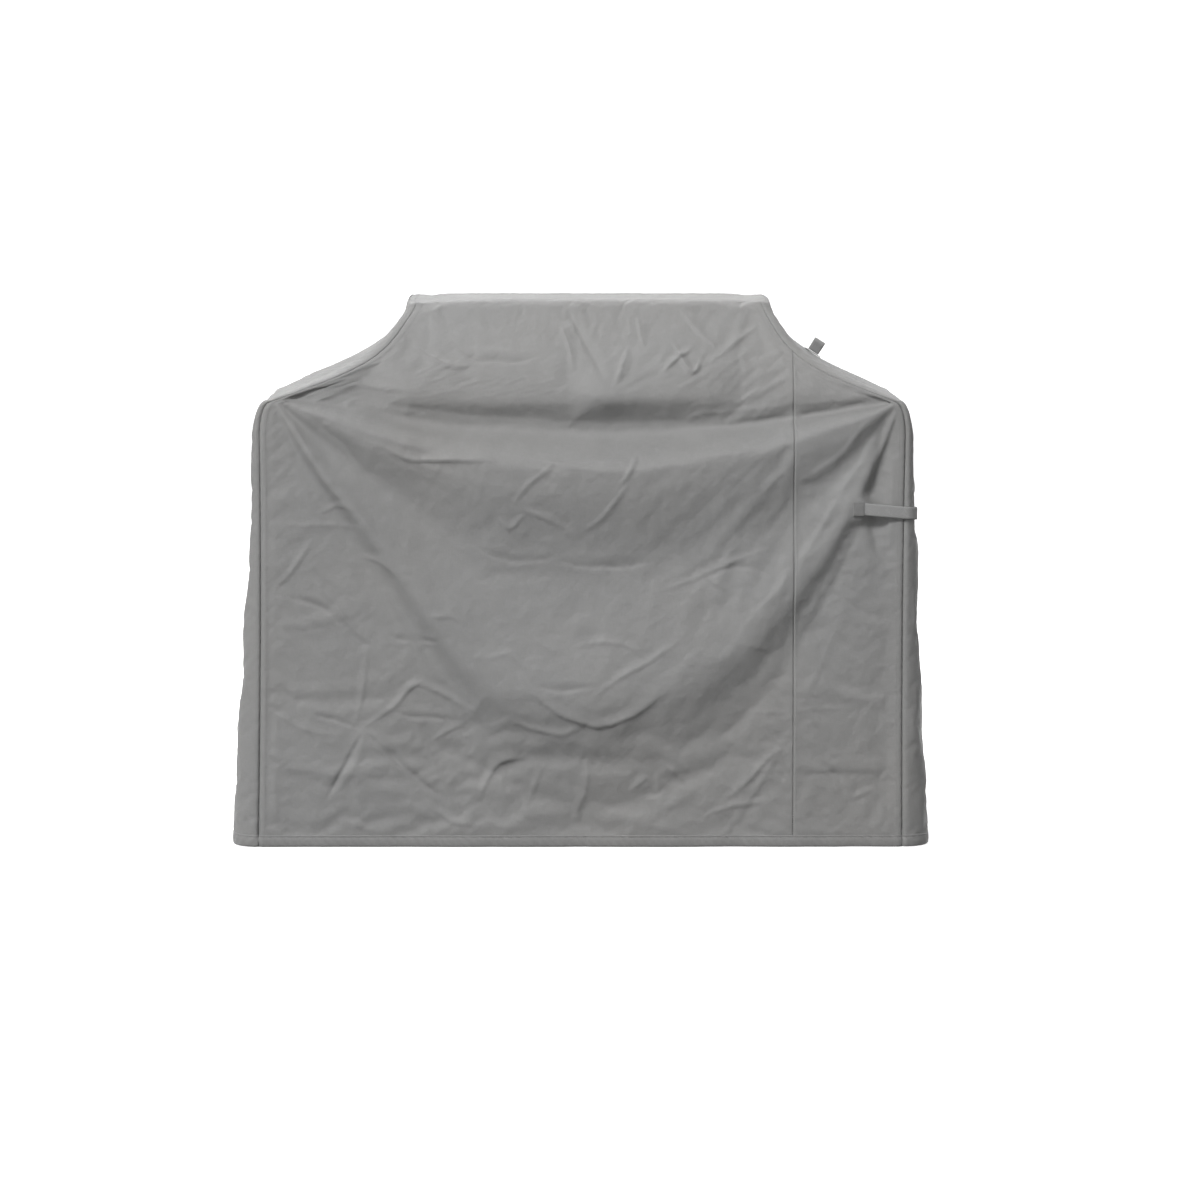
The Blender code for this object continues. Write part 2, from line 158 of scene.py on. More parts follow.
def softened(top, shelf, hem, reach=0.016):
    """The front or back line over the height, with its bend at the shelf rounded off."""
    drop = 1 - EDGE_Z / SHOULDER_TOP
    rise = (EDGE_Z - SHOULDER_TOP) / (HEIGHT - SHOULDER_TOP)
    line = np.where(EDGE_Z > SHOULDER_TOP, mix(shelf, top, rise), mix(shelf, hem, drop))
    offsets = np.arange(-90, 91) * (EDGE_Z[1] - EDGE_Z[0])
    weights = np.exp(-(offsets / reach) ** 2)
    padded = np.concatenate([np.full(90, line[0]), line, np.full(90, line[-1])])
    rounded = np.convolve(padded, weights / weights.sum(), "valid")
    inside = smooth((EDGE_Z - 0.80) / 0.05) * smooth((1.06 - EDGE_Z) / 0.05)
    return mix(line, rounded, inside)


FRONT_LINE = softened(HOOD_FRONT, -SHELF_DEPTH, -HEM_DEPTH)
BACK_LINE = softened(HOOD_BACK, SHELF_DEPTH, HEM_DEPTH)


def outline(z):
    """Half widths, front and back lines and corner radius of the cover at heights z."""
    z = np.asarray(z, float)
    drop = np.clip(1 - z / SHOULDER_TOP, 0, 1)
    flare = drop**1.3
    turn = np.clip((z - SHOULDER_START) / (SHOULDER_TOP - SHOULDER_START), 0, 1)
    pull = SHOULDER_ROUND * (1 - np.sqrt(1 - turn * turn))
    share = np.interp(z, SLOPE_Z, SHARES)
    on_slope = z > SHOULDER_TOP
    left = np.where(on_slope, mix(SHELF_LEFT - SHOULDER_ROUND, HOOD_LEFT, share),
                    mix(SHELF_LEFT, HALF_WIDTH, flare) - pull)
    right = np.where(on_slope, mix(SHELF_RIGHT - SHOULDER_ROUND, HOOD_RIGHT, share),
                     mix(SHELF_RIGHT, HALF_WIDTH, flare) - pull)
    front = np.interp(z, EDGE_Z, FRONT_LINE)
    back = np.interp(z, EDGE_Z, BACK_LINE)
    rounder = 0.020 * np.sin(math.pi * share)
    corner = np.where(on_slope, mix(CORNER_AT_SHELF, HOOD_CORNER, share) + rounder,
                      mix(CORNER_AT_SHELF, CORNER_AT_HEM, drop))
    return left, right, front, back, corner


def seam_x(z, side):
    left, right, _, _, corner = outline(z)
    return side * ((left if side == LEFT else right) - corner)


def lattice_noise(x, y, cell, seed):
    """Smooth noise between -1 and 1, with one random value per cell."""
    rng = np.random.RandomState(seed)
    table = rng.uniform(-1, 1, (64, 64))
    u, v = x / cell + 1000.0, y / cell + 1000.0
    i, j = np.floor(u).astype(int), np.floor(v).astype(int)
    s, t = smooth(u - i), smooth(v - j)
    at = lambda a, b: table[a % 64, b % 64]
    return mix(mix(at(i, j), at(i + 1, j), s), mix(at(i, j + 1), at(i + 1, j + 1), s), t)


def curve_through(points, step=0.012):
    """Points of a smooth curve through a few given ones."""
    points = np.array(points, float)
    before = np.concatenate([[2 * points[0] - points[1]], points[:-1]])
    after = np.concatenate([points[1:], [2 * points[-1] - points[-2]]])
    tangents = (after - before) / 2
    out = [points[0]]
    for i in range(len(points) - 1):
        count = max(2, int(np.hypot(*(points[i + 1] - points[i])) / step))
        for t in np.linspace(0, 1, count + 1)[1:]:
            out.append((2 * t**3 - 3 * t**2 + 1) * points[i] + (t**3 - 2 * t**2 + t) * tangents[i]
                       + (3 * t**2 - 2 * t**3) * points[i + 1] + (t**3 - t**2) * tangents[i + 1])
    return np.array(out)


def stroke(x, z, points, width, height, dip=0.30, crisp=1.0):
    """A crease along a few points: a sharp raised or sunk line with one shallow side, fading at both ends."""
    points = curve_through(points)
    reach = 5 * width
    low, high = points.min(axis=0) - reach, points.max(axis=0) + reach
    out = np.zeros(x.shape)
    close = (x > low[0]) & (x < high[0]) & (z > low[1]) & (z < high[1])
    if not close.any():
        return out
    px, pz = x[close], z[close]
    px = px + 0.0035 * lattice_noise(px, pz, 0.045, 61) + 0.0008 * lattice_noise(px, pz, 0.011, 62)
    pz = pz + 0.0035 * lattice_noise(px, pz, 0.045, 63) + 0.0008 * lattice_noise(px, pz, 0.011, 64)
    lengths = np.hypot(*(points[1:] - points[:-1]).T)
    total = lengths.sum()
    best = np.full(px.shape, 1e9)
    along = np.zeros(px.shape)
    sign = np.zeros(px.shape)
    start = 0.0
    for (ax, az), (bx, bz), length in zip(points, points[1:], lengths):
        ex, ez = (bx - ax) / length, (bz - az) / length
        t = np.clip((px - ax) * ex + (pz - az) * ez, 0, length)
        dx, dz = px - ax - t * ex, pz - az - t * ez
        distance = np.hypot(dx, dz)
        nearer = distance < best
        best = np.where(nearer, distance, best)
        along = np.where(nearer, (start + t) / total, along)
        sign = np.where(nearer, np.sign(ex * dz - ez * dx), sign)
        start += length
    fade = np.sin(np.pi * np.clip(along, 0.0, 1.0)) ** 0.9
    w = width * (0.5 + 0.5 * fade) * (1 + 0.45 * sign)
    cusp = np.exp(-np.sqrt((best / w) ** 2 + 0.09) * 1.25 + 0.375)
    round_top = np.exp(-((best / w) ** 2))
    beside = np.exp(-(((best - 2.0 * w) / (1.2 * w)) ** 2)) * (sign > 0)
    profile = mix(round_top, cusp, crisp) - dip * beside
    out[close] = height * fade * profile
    return out


# ---------------------------------------------------------------- folds of the front

SWAG_PROFILE = (  # how far the cloth stands out, by the height below the slope's foot
    (-0.30, 0.0), (-0.085, 0.0), (-0.060, -0.0025), (-0.030, -0.0115), (0.0, -0.0245), (0.0225, -0.0360),
    (0.055, -0.0500), (0.080, -0.0540), (0.096, -0.0480), (0.118, -0.0220), (0.143, 0.0080), (0.161, 0.0190),
    (0.185, 0.0190), (0.215, 0.018), (0.250, 0.013), (0.300, 0.002), (0.360, -0.009), (0.410, -0.010),
    (0.510, 0.004), (0.615, 0.0225), (0.675, 0.0240), (0.765, -0.0010), (0.860, -0.0110), (1.10, -0.006),
)
SWAG_PLACES = np.linspace(-0.30, 1.10, 1401)


def blurred(line, reach, most):
    """A line of values, each mixed with its neighbours up to the most steps away."""
    weights = np.exp(-(np.arange(-most, most + 1) / reach) ** 2)
    return np.convolve(np.pad(line, most, "edge"), weights / weights.sum(), "valid")


def smoothed_profile():
    """The profile with its corners rounded: a little in the upper swags, more in the lower ones."""
    line = np.interp(SWAG_PLACES, [p for p, _ in SWAG_PROFILE], [v for _, v in SWAG_PROFILE])
    return mix(blurred(line, 11.0, 40), blurred(line, 34.0, 80), smooth((SWAG_PLACES - 0.2) / 0.1))


SWAG_LINE = smoothed_profile()
SLOPE_FOOT = (  # where the sloping cloth meets the hanging cloth: x and z
    (-0.60, 0.985), (-0.45, 1.004), (-0.35, 0.986), (-0.22, 0.993), (-0.03, 0.993), (0.05, 0.962),
    (0.167, 0.978), (0.26, 0.988), (0.34, 1.010), (0.50, 0.990), (0.66, 0.980),
)
FOOT_HEIGHT = 0.993
SHOULDER_LEFT = (-0.643, 0.966)
SHOULDER_RIGHT = (0.668, 0.955)


def swag(x, z, depth=1.0):
    """Cloth hung between the two shelf shoulders: fans at the shoulders, deep swags in the middle."""
    middle = (SHOULDER_LEFT[0] + SHOULDER_RIGHT[0]) / 2
    half = (SHOULDER_RIGHT[0] - SHOULDER_LEFT[0]) / 2
    u = np.clip((x - middle) / half, -1, 1)
    line = mix(SHOULDER_LEFT[1], SHOULDER_RIGHT[1], (u + 1) / 2)
    span = np.clip(1 - u * u, 0.004, 1) ** 0.78
    foot = (keys(SLOPE_FOOT, x) - FOOT_HEIGHT) * smooth((z - 0.88) / 0.08)
    sag = (line + foot - z) / span
    skew = 0.42 * smooth((-u - 0.28) / 0.58) * smooth(sag / 0.40)
    sag = sag * (1 + skew)
    sag = sag + 0.005 * lattice_noise(x, z, 0.13, 91) * smooth(sag / 0.1)
    return depth * np.interp(sag, SWAG_PLACES, SWAG_LINE) * span**0.85


FRONT_CREASES = [  # the points of each crease in x and z, its width, and its height out or in
    # the sharp bright crease at the top of the first swag, and its companions
    ([(-0.42, 0.858), (-0.365, 0.822), (-0.28, 0.818), (-0.15, 0.822)], 0.010, 0.0050),
    ([(-0.17, 0.838), (-0.10, 0.820), (-0.02, 0.800), (0.06, 0.792)], 0.010, 0.0035),
    ([(-0.06, 0.806), (0.02, 0.812), (0.10, 0.816), (0.16, 0.830)], 0.009, 0.0030),
    ([(0.22, 0.822), (0.32, 0.830), (0.36, 0.838), (0.50, 0.880)], 0.014, 0.0035),
    # fans from the left shoulder
    ([(-0.64, 0.962), (-0.52, 0.925), (-0.42, 0.897), (-0.30, 0.874)], 0.014, -0.0042),
    ([(-0.64, 0.964), (-0.50, 0.948), (-0.36, 0.925), (-0.18, 0.905), (0.05, 0.892), (0.24, 0.895)],
     0.018, -0.0026),
    ([(-0.64, 0.966), (-0.48, 0.968), (-0.33, 0.960)], 0.014, 0.0040),
    ([(-0.64, 0.955), (-0.56, 0.90), (-0.48, 0.83), (-0.42, 0.75)], 0.016, -0.0040),
    ([(-0.64, 0.950), (-0.59, 0.87), (-0.53, 0.77), (-0.45, 0.67)], 0.018, 0.0050),
    # fans from the right shoulder
    ([(0.66, 0.955), (0.55, 0.925), (0.40, 0.898), (0.20, 0.878)], 0.013, -0.0050),
    ([(0.66, 0.957), (0.52, 0.940), (0.36, 0.920), (0.10, 0.900)], 0.014, 0.0030),
    ([(0.665, 0.95), (0.60, 0.89), (0.53, 0.82), (0.44, 0.76)], 0.020, 0.0050),
    ([(0.655, 0.93), (0.58, 0.80), (0.52, 0.70), (0.44, 0.58), (0.33, 0.46)], 0.024, 0.0060),
    # the middle, between the swags
    ([(-0.17, 0.70), (-0.15, 0.675), (-0.115, 0.71)], 0.008, 0.0040),
    ([(-0.14, 0.72), (-0.06, 0.69), (-0.02, 0.665)], 0.009, 0.0035),
    ([(0.105, 0.775), (0.05, 0.705), (0.0, 0.662)], 0.008, 0.0035),
    ([(0.12, 0.83), (0.08, 0.76)], 0.008, 0.0030),
    ([(-0.05, 0.815), (-0.12, 0.76), (-0.14, 0.73)], 0.008, 0.0025),
    ([(-0.22, 0.635), (-0.16, 0.607), (-0.05, 0.612)], 0.010, -0.0030),
    ([(-0.05, 0.602), (0.04, 0.592), (0.16, 0.600)], 0.012, -0.0040),
    ([(0.15, 0.535), (0.26, 0.575), (0.34, 0.61), (0.40, 0.632)], 0.009, 0.0035),
    ([(0.24, 0.565), (0.33, 0.59), (0.41, 0.575)], 0.008, -0.0030),
    ([(0.23, 0.61), (0.27, 0.565), (0.33, 0.53)], 0.008, 0.0025),
    # the sharp folds in the bottom of the great swag
    ([(-0.13, 0.372), (-0.09, 0.325), (0.01, 0.262), (0.10, 0.280), (0.17, 0.33)], 0.012, 0.0065),
    ([(-0.09, 0.345), (-0.03, 0.338), (0.03, 0.342)], 0.009, -0.0045),
    ([(0.03, 0.318), (0.05, 0.34), (0.15, 0.40), (0.21, 0.44)], 0.009, 0.0045),
    ([(-0.11, 0.45), (-0.08, 0.43), (-0.05, 0.405)], 0.008, 0.0030),
    ([(-0.02, 0.42), (0.04, 0.435), (0.10, 0.425), (0.14, 0.40)], 0.009, 0.0030),
    ([(-0.15, 0.272), (-0.09, 0.252), (-0.03, 0.245), (0.0, 0.262)], 0.010, 0.0045),
    ([(-0.20, 0.40), (-0.15, 0.41), (-0.10, 0.37)], 0.010, 0.0030),
    # crumples on the left
    ([(-0.645, 0.543), (-0.60, 0.59), (-0.555, 0.655)], 0.008, 0.0035),
    ([(-0.57, 0.578), (-0.52, 0.52), (-0.475, 0.46), (-0.44, 0.43)], 0.009, 0.0060),
    ([(-0.64, 0.535), (-0.55, 0.508), (-0.49, 0.46)], 0.009, -0.0040),
    ([(-0.41, 0.45), (-0.36, 0.437), (-0.29, 0.44)], 0.008, -0.0035),
    ([(-0.40, 0.425), (-0.35, 0.437), (-0.31, 0.43)], 0.007, 0.0030),
    ([(-0.65, 0.680), (-0.55, 0.676), (-0.42, 0.674)], 0.007, 0.0020),
    ([(-0.56, 0.70), (-0.50, 0.718), (-0.46, 0.70)], 0.008, 0.0025),
    ([(-0.47, 0.616), (-0.42, 0.60), (-0.37, 0.56)], 0.010, 0.0035),
    ([(-0.50, 0.75), (-0.46, 0.70), (-0.42, 0.66)], 0.011, 0.0040),
    ([(-0.32, 0.49), (-0.27, 0.487), (-0.24, 0.47)], 0.008, 0.0030),
    # the star crumple low on the left
    ([(-0.46, 0.245), (-0.50, 0.17), (-0.54, 0.095)], 0.009, -0.0065),
    ([(-0.46, 0.245), (-0.40, 0.19), (-0.34, 0.14), (-0.28, 0.10)], 0.009, -0.0060),
    ([(-0.45, 0.25), (-0.385, 0.155)], 0.008, 0.0045),
    ([(-0.57, 0.285), (-0.51, 0.268), (-0.46, 0.248)], 0.008, -0.0040),
    ([(-0.46, 0.25), (-0.39, 0.30), (-0.34, 0.345), (-0.26, 0.305), (-0.22, 0.285)], 0.009, 0.0055),
    ([(-0.40, 0.283), (-0.33, 0.276), (-0.25, 0.270)], 0.008, -0.0045),
    ([(-0.31, 0.225), (-0.28, 0.245), (-0.25, 0.262)], 0.008, 0.0035),
    ([(-0.47, 0.26), (-0.455, 0.34), (-0.45, 0.43)], 0.009, 0.0035),
    ([(-0.66, 0.29), (-0.58, 0.25), (-0.50, 0.235)], 0.010, 0.0025),
    # along the foot
    ([(-0.215, 0.10), (-0.19, 0.15), (-0.165, 0.185), (-0.11, 0.192)], 0.010, 0.0050),
    ([(-0.01, 0.07), (0.01, 0.13), (0.02, 0.20)], 0.012, 0.0035),
    ([(-0.115, 0.08), (-0.09, 0.15), (-0.07, 0.18)], 0.010, 0.0025),
    ([(0.10, 0.12), (0.14, 0.155)], 0.009, 0.0035),
    ([(0.17, 0.185), (0.20, 0.155), (0.215, 0.135)], 0.010, 0.0035),
    ([(0.30, 0.09), (0.36, 0.150), (0.43, 0.215)], 0.011, 0.0045),
    ([(0.25, 0.06), (0.32, 0.085), (0.40, 0.095)], 0.009, 0.0035),
    ([(0.50, 0.185), (0.54, 0.14), (0.56, 0.10)], 0.009, -0.0040),
    ([(0.57, 0.10), (0.62, 0.125)], 0.009, 0.0030),
    ([(-0.33, 0.10), (-0.27, 0.055), (-0.20, 0.05)], 0.010, 0.0035),
    ([(0.32, 0.435), (0.37, 0.425), (0.41, 0.41)], 0.009, 0.0018),
    ([(0.34, 0.282), (0.47, 0.290), (0.60, 0.288)], 0.007, 0.0020),
    # on the hood's sloping front
    ([(-0.27, 1.055), (-0.22, 1.025), (-0.14, 1.022), (-0.08, 1.033)], 0.010, -0.0040),
    ([(-0.35, 1.045), (-0.28, 1.012), (-0.23, 1.01)], 0.010, 0.0040),
    ([(-0.04, 1.10), (-0.02, 1.03), (-0.015, 1.00)], 0.010, 0.0040),
    ([(-0.03, 1.125), (0.02, 1.04), (0.045, 0.975)], 0.012, -0.0030),
    ([(0.19, 1.06), (0.235, 0.995), (0.26, 1.03)], 0.009, 0.0045),
    ([(0.17, 0.995), (0.21, 1.03), (0.24, 1.05)], 0.008, 0.0035),
    ([(0.27, 1.01), (0.33, 1.06), (0.38, 1.09)], 0.010, 0.0030),
    ([(0.10, 1.05), (0.08, 1.00), (0.07, 0.97)], 0.011, 0.0030),
    ([(0.12, 1.12), (0.135, 1.05)], 0.010, 0.0025),
    ([(0.21, 1.13), (0.25, 1.08), (0.29, 1.05)], 0.012, 0.0030),
]

# the cloth that the right strap gathers: a valley beside it and a raised fold behind it
STRAP_VALLEY = ([(0.640, 0.90), (0.625, 0.81), (0.607, 0.735), (0.612, 0.68), (0.628, 0.62), (0.652, 0.59)],
                0.026, -0.0120)
STRAP_TUBE = ([(0.655, 0.84), (0.648, 0.72), (0.655, 0.60)], 0.015, 0.0060)

ANCHOR_AT = (0.5838, 0.7127)


def front_folds(x, z):
    """The front's large shape: its swags, and the cloth gathered at the strap."""
    d = swag(x, z)
    d += stroke(x, z, *STRAP_VALLEY, dip=0.0, crisp=0.3)
    d += stroke(x, z, *STRAP_TUBE, dip=0.0, crisp=0.0)
    d += 0.0040 * lattice_noise(x, z, 0.16, 3) * smooth((0.93 - z) / 0.1)
    return d


def crumple(x, z, seed, height=0.0011):
    """A net of fine sharp wrinkles, stronger in some places than in others."""
    d = np.zeros(x.shape)
    for k, (cell, share) in enumerate(((0.085, 1.0), (0.045, 0.55), (0.024, 0.30))):
        warp = 0.4 * cell * lattice_noise(x, z, cell * 1.7, seed + 10 * k + 5)
        line = np.abs(lattice_noise(x + warp, 1.25 * z + warp, cell, seed + 10 * k))
        patch = smooth(0.5 + 0.9 * lattice_noise(x, z, 0.19, seed + 10 * k + 7))
        d += height * share * patch * (np.exp(-line * 5.5) - 0.35)
    return d


def crease_share(z):
    """How much of its listed height a crease that starts at z gets."""
    if z > 0.97:
        return 1.5
    if 0.79 < z < 0.90:
        return 1.15
    return 0.70


def front_creases(x, z):
    d = 0.50 * crumple(x, z, 201)
    for points, width, height in FRONT_CREASES:
        d += stroke(x, z, points, 0.60 * width, crease_share(points[0][1]) * height)
    return d


def scattered_creases(x, z, seed, count, box, size=(0.04, 0.16), height=0.0035):
    """Random soft creases inside a box, for the sides and the back, which the photo doesn't show."""
    rng = np.random.RandomState(seed)
    d = np.zeros(x.shape)
    (x0, z0), (x1, z1) = box
    for _ in range(count):
        cx, cz = rng.uniform(x0, x1), rng.uniform(z0, z1)
        length, angle = rng.uniform(*size), rng.uniform(0, math.pi)
        bend = rng.uniform(-0.5, 0.5)
        ends = []
        for t in (-0.5, 0.0, 0.5):
            a = angle + bend * t
            ends.append((cx + t * length * math.cos(a), cz + t * length * math.sin(a)))
        amount = rng.uniform(0.4, 1.0) * height * rng.choice((-1, 1))
        d += stroke(x, z, ends, rng.uniform(0.007, 0.012), amount)
    return d


# ---------------------------------------------------------------- grids of points

def resample(z, run, spacing):
    """Heights spaced evenly along a profile whose sideways place is run."""
    length = np.concatenate([[0], np.cumsum(np.hypot(np.diff(z), np.diff(run)))])
    count = max(4, int(round(length[-1] / spacing)))
    return np.interp(np.linspace(0, length[-1], count + 1), length, z)


def face_grid(face, left, right, z_low, z_high, over_top, grid):
    """Points on the front or back between two x limits, and on over the hood's flat top if asked."""
    fine = np.linspace(z_low, z_high, 1500)
    _, _, front, back, _ = outline(fine)
    z_rows = resample(fine, front if face == FRONT else back, grid)
    across = np.linspace(0, 1, int(round((right(z_low) - left(z_low)) / grid)) + 1)
    rows, uv = [], []
    path = 0.0
    last = None
    for z in z_rows:
        _, _, front, back, _ = outline(z)
        y = float(front if face == FRONT else back)
        if last is not None:
            path += math.hypot(z - last[0], y - last[1])
        last = (z, y)
        x = mix(left(z), right(z), across)
        rows.append(np.stack([x, np.full(x.shape, y), np.full(x.shape, z)], 1))
        uv.append(np.stack([x, np.full(x.shape, path)], 1))
    if over_top:
        steps = int(round((HOOD_BACK - HOOD_FRONT) / (grid * 1.3)))
        for i in range(1, steps + 1):
            y = mix(HOOD_FRONT, HOOD_BACK, i / steps)
            turn = max(0.0, 1 - min(y - HOOD_FRONT, HOOD_BACK - y) / HOOD_CORNER)
            in_by = HOOD_CORNER * (1 - math.sqrt(max(0.0, 1 - turn * turn)))
            x = mix(-HOOD_LEFT + in_by, HOOD_RIGHT - in_by, across)
            rows.append(np.stack([x, np.full(x.shape, y), np.full(x.shape, HEIGHT)], 1))
            uv.append(np.stack([x, np.full(x.shape, path + y - HOOD_FRONT)], 1))
    return np.array(rows), np.array(uv)


def swell(x, z):
    """The gentle bow of the front and back between their corners."""
    middle = (seam_x(z, LEFT) + seam_x(z, RIGHT)) / 2
    half = (seam_x(z, RIGHT) - seam_x(z, LEFT)) / 2
    bow = keys(((0.0, 0.012), (0.5, 0.012), (0.93, 0.004), (HEIGHT, 0.0)), z)
    return bow * np.clip(1 - ((x - middle) / half) ** 2, 0, 1)


CORNER_POINTS = 12


def side_grid(side, z_low):
    """Points round one side, from the front seam past both corners to the back seam."""
    fine = np.linspace(z_low, HEIGHT, 3000)
    reach = outline(fine)[0 if side == LEFT else 1]
    z_rows = resample(fine, reach, GRID)
    rows, uv = [], []
    path = 0.0
    last = None
    for z in z_rows:
        left, right, front, back, corner = (float(v) for v in outline(z))
        edge = left if side == LEFT else right
        if last is not None:
            path += math.hypot(z - last[0], edge - last[1])
        last = (z, edge)
        angle = np.linspace(0, math.pi / 2, CORNER_POINTS)
        front_x = edge - corner + corner * np.sin(angle)
        front_y = front + corner - corner * np.cos(angle)
        count = int(round(2 * SHELF_DEPTH / GRID))
        straight = np.linspace(front + corner, back - corner, count)[1:-1]
        back_y = back - corner + corner * np.cos(angle[::-1])
        x = np.concatenate([front_x, np.full(straight.shape, edge), front_x[::-1]])
        y = np.concatenate([front_y, straight, back_y])
        rows.append(np.stack([side * x, y, np.full(x.shape, z)], 1))
        along = np.concatenate([[0], np.cumsum(np.hypot(np.diff(x), np.diff(y)))])
        uv.append(np.stack([along, np.full(x.shape, path)], 1))
    return np.array(rows), np.array(uv)


def grid_normals(points, outward):
    """Unit normals of a grid, turned to the side of the outward direction."""
    du = np.gradient(points, axis=1)
    dv = np.gradient(points, axis=0)
    n = np.cross(du, dv)
    n /= np.maximum(np.linalg.norm(n, axis=2, keepdims=True), 1e-12)
    if (n * outward).sum() < 0:
        n = -n
    return n


def edge_window(shape, columns):
    """1 inside a grid, falling to 0 over some columns at its left and right edges."""
    i = np.arange(shape[1])
    return np.broadcast_to(smooth(i / columns) * smooth((shape[1] - 1 - i) / columns), shape[:2])


# ---------------------------------------------------------------- cloth simulation

FRAMES = 12
CLOTH_SETTINGS = {
    "quality": 5, "mass": 0.3, "tension_stiffness": 25.0, "compression_stiffness": 25.0,
    "shear_stiffness": 6.0, "bending_stiffness": 0.6, "tension_damping": 8.0, "compression_damping": 8.0,
    "shear_damping": 8.0, "bending_damping": 1.0, "air_damping": 2.0, "vertex_group_mass": "hold",
    "pin_stiffness": 1.0,
}
GRAVITY = 0.02  # so little that the shape given beforehand stays


def add_object(name, data):
    obj = bpy.data.objects.new(name, data)
    bpy.context.scene.collection.objects.link(obj)
    return obj


def grid_quads(rows, columns):
    """The quads between the points of a grid, by number."""
    index = np.arange(rows * columns).reshape(rows, columns)
    return np.stack([index[:-1, :-1], index[:-1, 1:], index[1:, 1:], index[1:, :-1]], -1).reshape(-1, 4)


def relax(points, hold, spare):
    """Lets a grid of cloth with a little spare length buckle and settle, held where hold is 1."""
    rows, columns = points.shape[:2]
    mesh = bpy.data.meshes.new("relaxing")
    mesh.from_pydata(points.reshape(-1, 3).tolist(), [], grid_quads(rows, columns).tolist())
    obj = add_object("relaxing", mesh)
    group = obj.vertex_groups.new(name="hold")
    values = np.round(hold.reshape(-1), 3)
    for value in np.unique(values):
        if value > 0:
            group.add(np.nonzero(values == value)[0].tolist(), float(value), "REPLACE")
    cloth = obj.modifiers.new("cloth", "CLOTH")
    for key, value in CLOTH_SETTINGS.items():
        setattr(cloth.settings, key, value)
    cloth.settings.effector_weights.gravity = GRAVITY
    cloth.settings.shrink_min = -spare
    cloth.collision_settings.use_collision = False
    cloth.point_cache.frame_start = 1
    cloth.point_cache.frame_end = FRAMES
    scene = bpy.context.scene
    for number in range(1, FRAMES + 1):
        scene.frame_set(number)
    evaluated = obj.evaluated_get(bpy.context.evaluated_depsgraph_get())
    made = evaluated.to_mesh()
    out = np.empty(len(made.vertices) * 3, np.float32)
    made.vertices.foreach_get("co", out)
    evaluated.to_mesh_clear()
    scene.frame_set(1)
    bpy.data.objects.remove(obj, do_unlink=True)
    bpy.data.meshes.remove(mesh)
    return out.reshape(rows, columns, 3).astype(float)


def stretch_to(field, count, axis):
    """Cubic resampling of a field to another number of points along one axis."""
    field = np.moveaxis(field, axis, 0)
    n = len(field)
    at = np.linspace(0, n - 1, count)
    i = np.clip(np.floor(at).astype(int), 0, n - 2)
    t = (at - i).reshape(-1, *([1] * (field.ndim - 1)))
    p0, p1 = field[np.maximum(i - 1, 0)], field[i]
    p2, p3 = field[i + 1], field[np.minimum(i + 2, n - 1)]
    out = 0.5 * (2 * p1 + (p2 - p0) * t + (2 * p0 - 5 * p1 + 4 * p2 - p3) * t**2
                 + (3 * p1 - p0 - 3 * p2 + p3) * t**3)
    return np.moveaxis(out, 0, axis)


def resized(field, shape):
    return stretch_to(stretch_to(field, shape[0], 0), shape[1], 1)


MOST_SETTLING = 0.005


def settle(points, hold, spare):
    """Relaxes a grid at half its fineness and puts the movement back on the full grid."""
    shape = (points.shape[0] // 2 + 1, points.shape[1] // 2 + 1)
    coarse = resized(points, shape)
    hold = resized(hold, shape).clip(0, 1)
    hold[0], hold[-1] = 1.0, 1.0
    hold[:, 0], hold[:, -1] = 1.0, 1.0
    moved = relax(coarse, hold, spare) - coarse
    length = np.linalg.norm(moved, axis=2, keepdims=True)
    moved *= np.minimum(1, MOST_SETTLING / np.maximum(length, 1e-9))
    return points + resized(moved, points.shape)


# ---------------------------------------------------------------- meshes

def add_mesh(name, verts, faces):
    mesh = bpy.data.meshes.new(name)
    mesh.from_pydata(verts, [], faces)
    mesh.shade_smooth()
    return add_object(name, mesh)


def add_uv(obj, uv):
    """Gives the mesh its cloth coordinates, one pair for each face corner."""
    layer = obj.data.uv_layers.new(name="cloth")
    layer.data.foreach_set("uv", uv.astype(np.float32).reshape(-1))


def closed_sheet(name, outer, inner, uv):
    """A closed thin mesh between two grids of points."""
    rows, columns = outer.shape[:2]
    count = rows * columns
    verts = np.concatenate([outer.reshape(-1, 3), inner.reshape(-1, 3)])
    index = np.arange(count).reshape(rows, columns)
    top = grid_quads(rows, columns)
    rim = np.concatenate([index[0, :], index[1:, -1], index[-1, -2::-1], index[-2:0:-1, 0]])
    nxt = np.roll(rim, -1)
    walls = np.stack([nxt, rim, rim + count, nxt + count], -1)
    faces = np.concatenate([top, top[:, ::-1] + count, walls])
    a, b, c, d = (verts[faces[:, k]] for k in range(4))
    volume = (np.cross(a, b) * c).sum() + (np.cross(a, c) * d).sum()
    if volume < 0:
        faces = faces[:, ::-1]
    obj = add_mesh(name, verts.tolist(), faces.tolist())
    add_uv(obj, np.concatenate([uv.reshape(-1, 2)] * 2)[faces.reshape(-1)])
    return obj


def merged(name, parts):
    """One mesh from many (points, faces) parts."""
    verts, faces, start = [], [], 0
    for points, polygons in parts:
        verts.extend(points)
        faces.extend([[i + start for i in polygon] for polygon in polygons])
        start += len(points)
    return add_mesh(name, verts, faces)


def tube_faces(rings, sides):
    """The faces of a closed tube, by the numbers of its points, ring after ring."""
    faces = []
    for j in range(0, (rings - 1) * sides, sides):
        for k in range(sides):
            m = (k + 1) % sides
            faces.append([j + k, j + sides + k, j + sides + m, j + m])
    last = (rings - 1) * sides
    return faces + [list(range(sides)), list(range(last, last + sides))[::-1]]


THREAD_RADIUS = 0.00038
THREAD_SIDES = 5


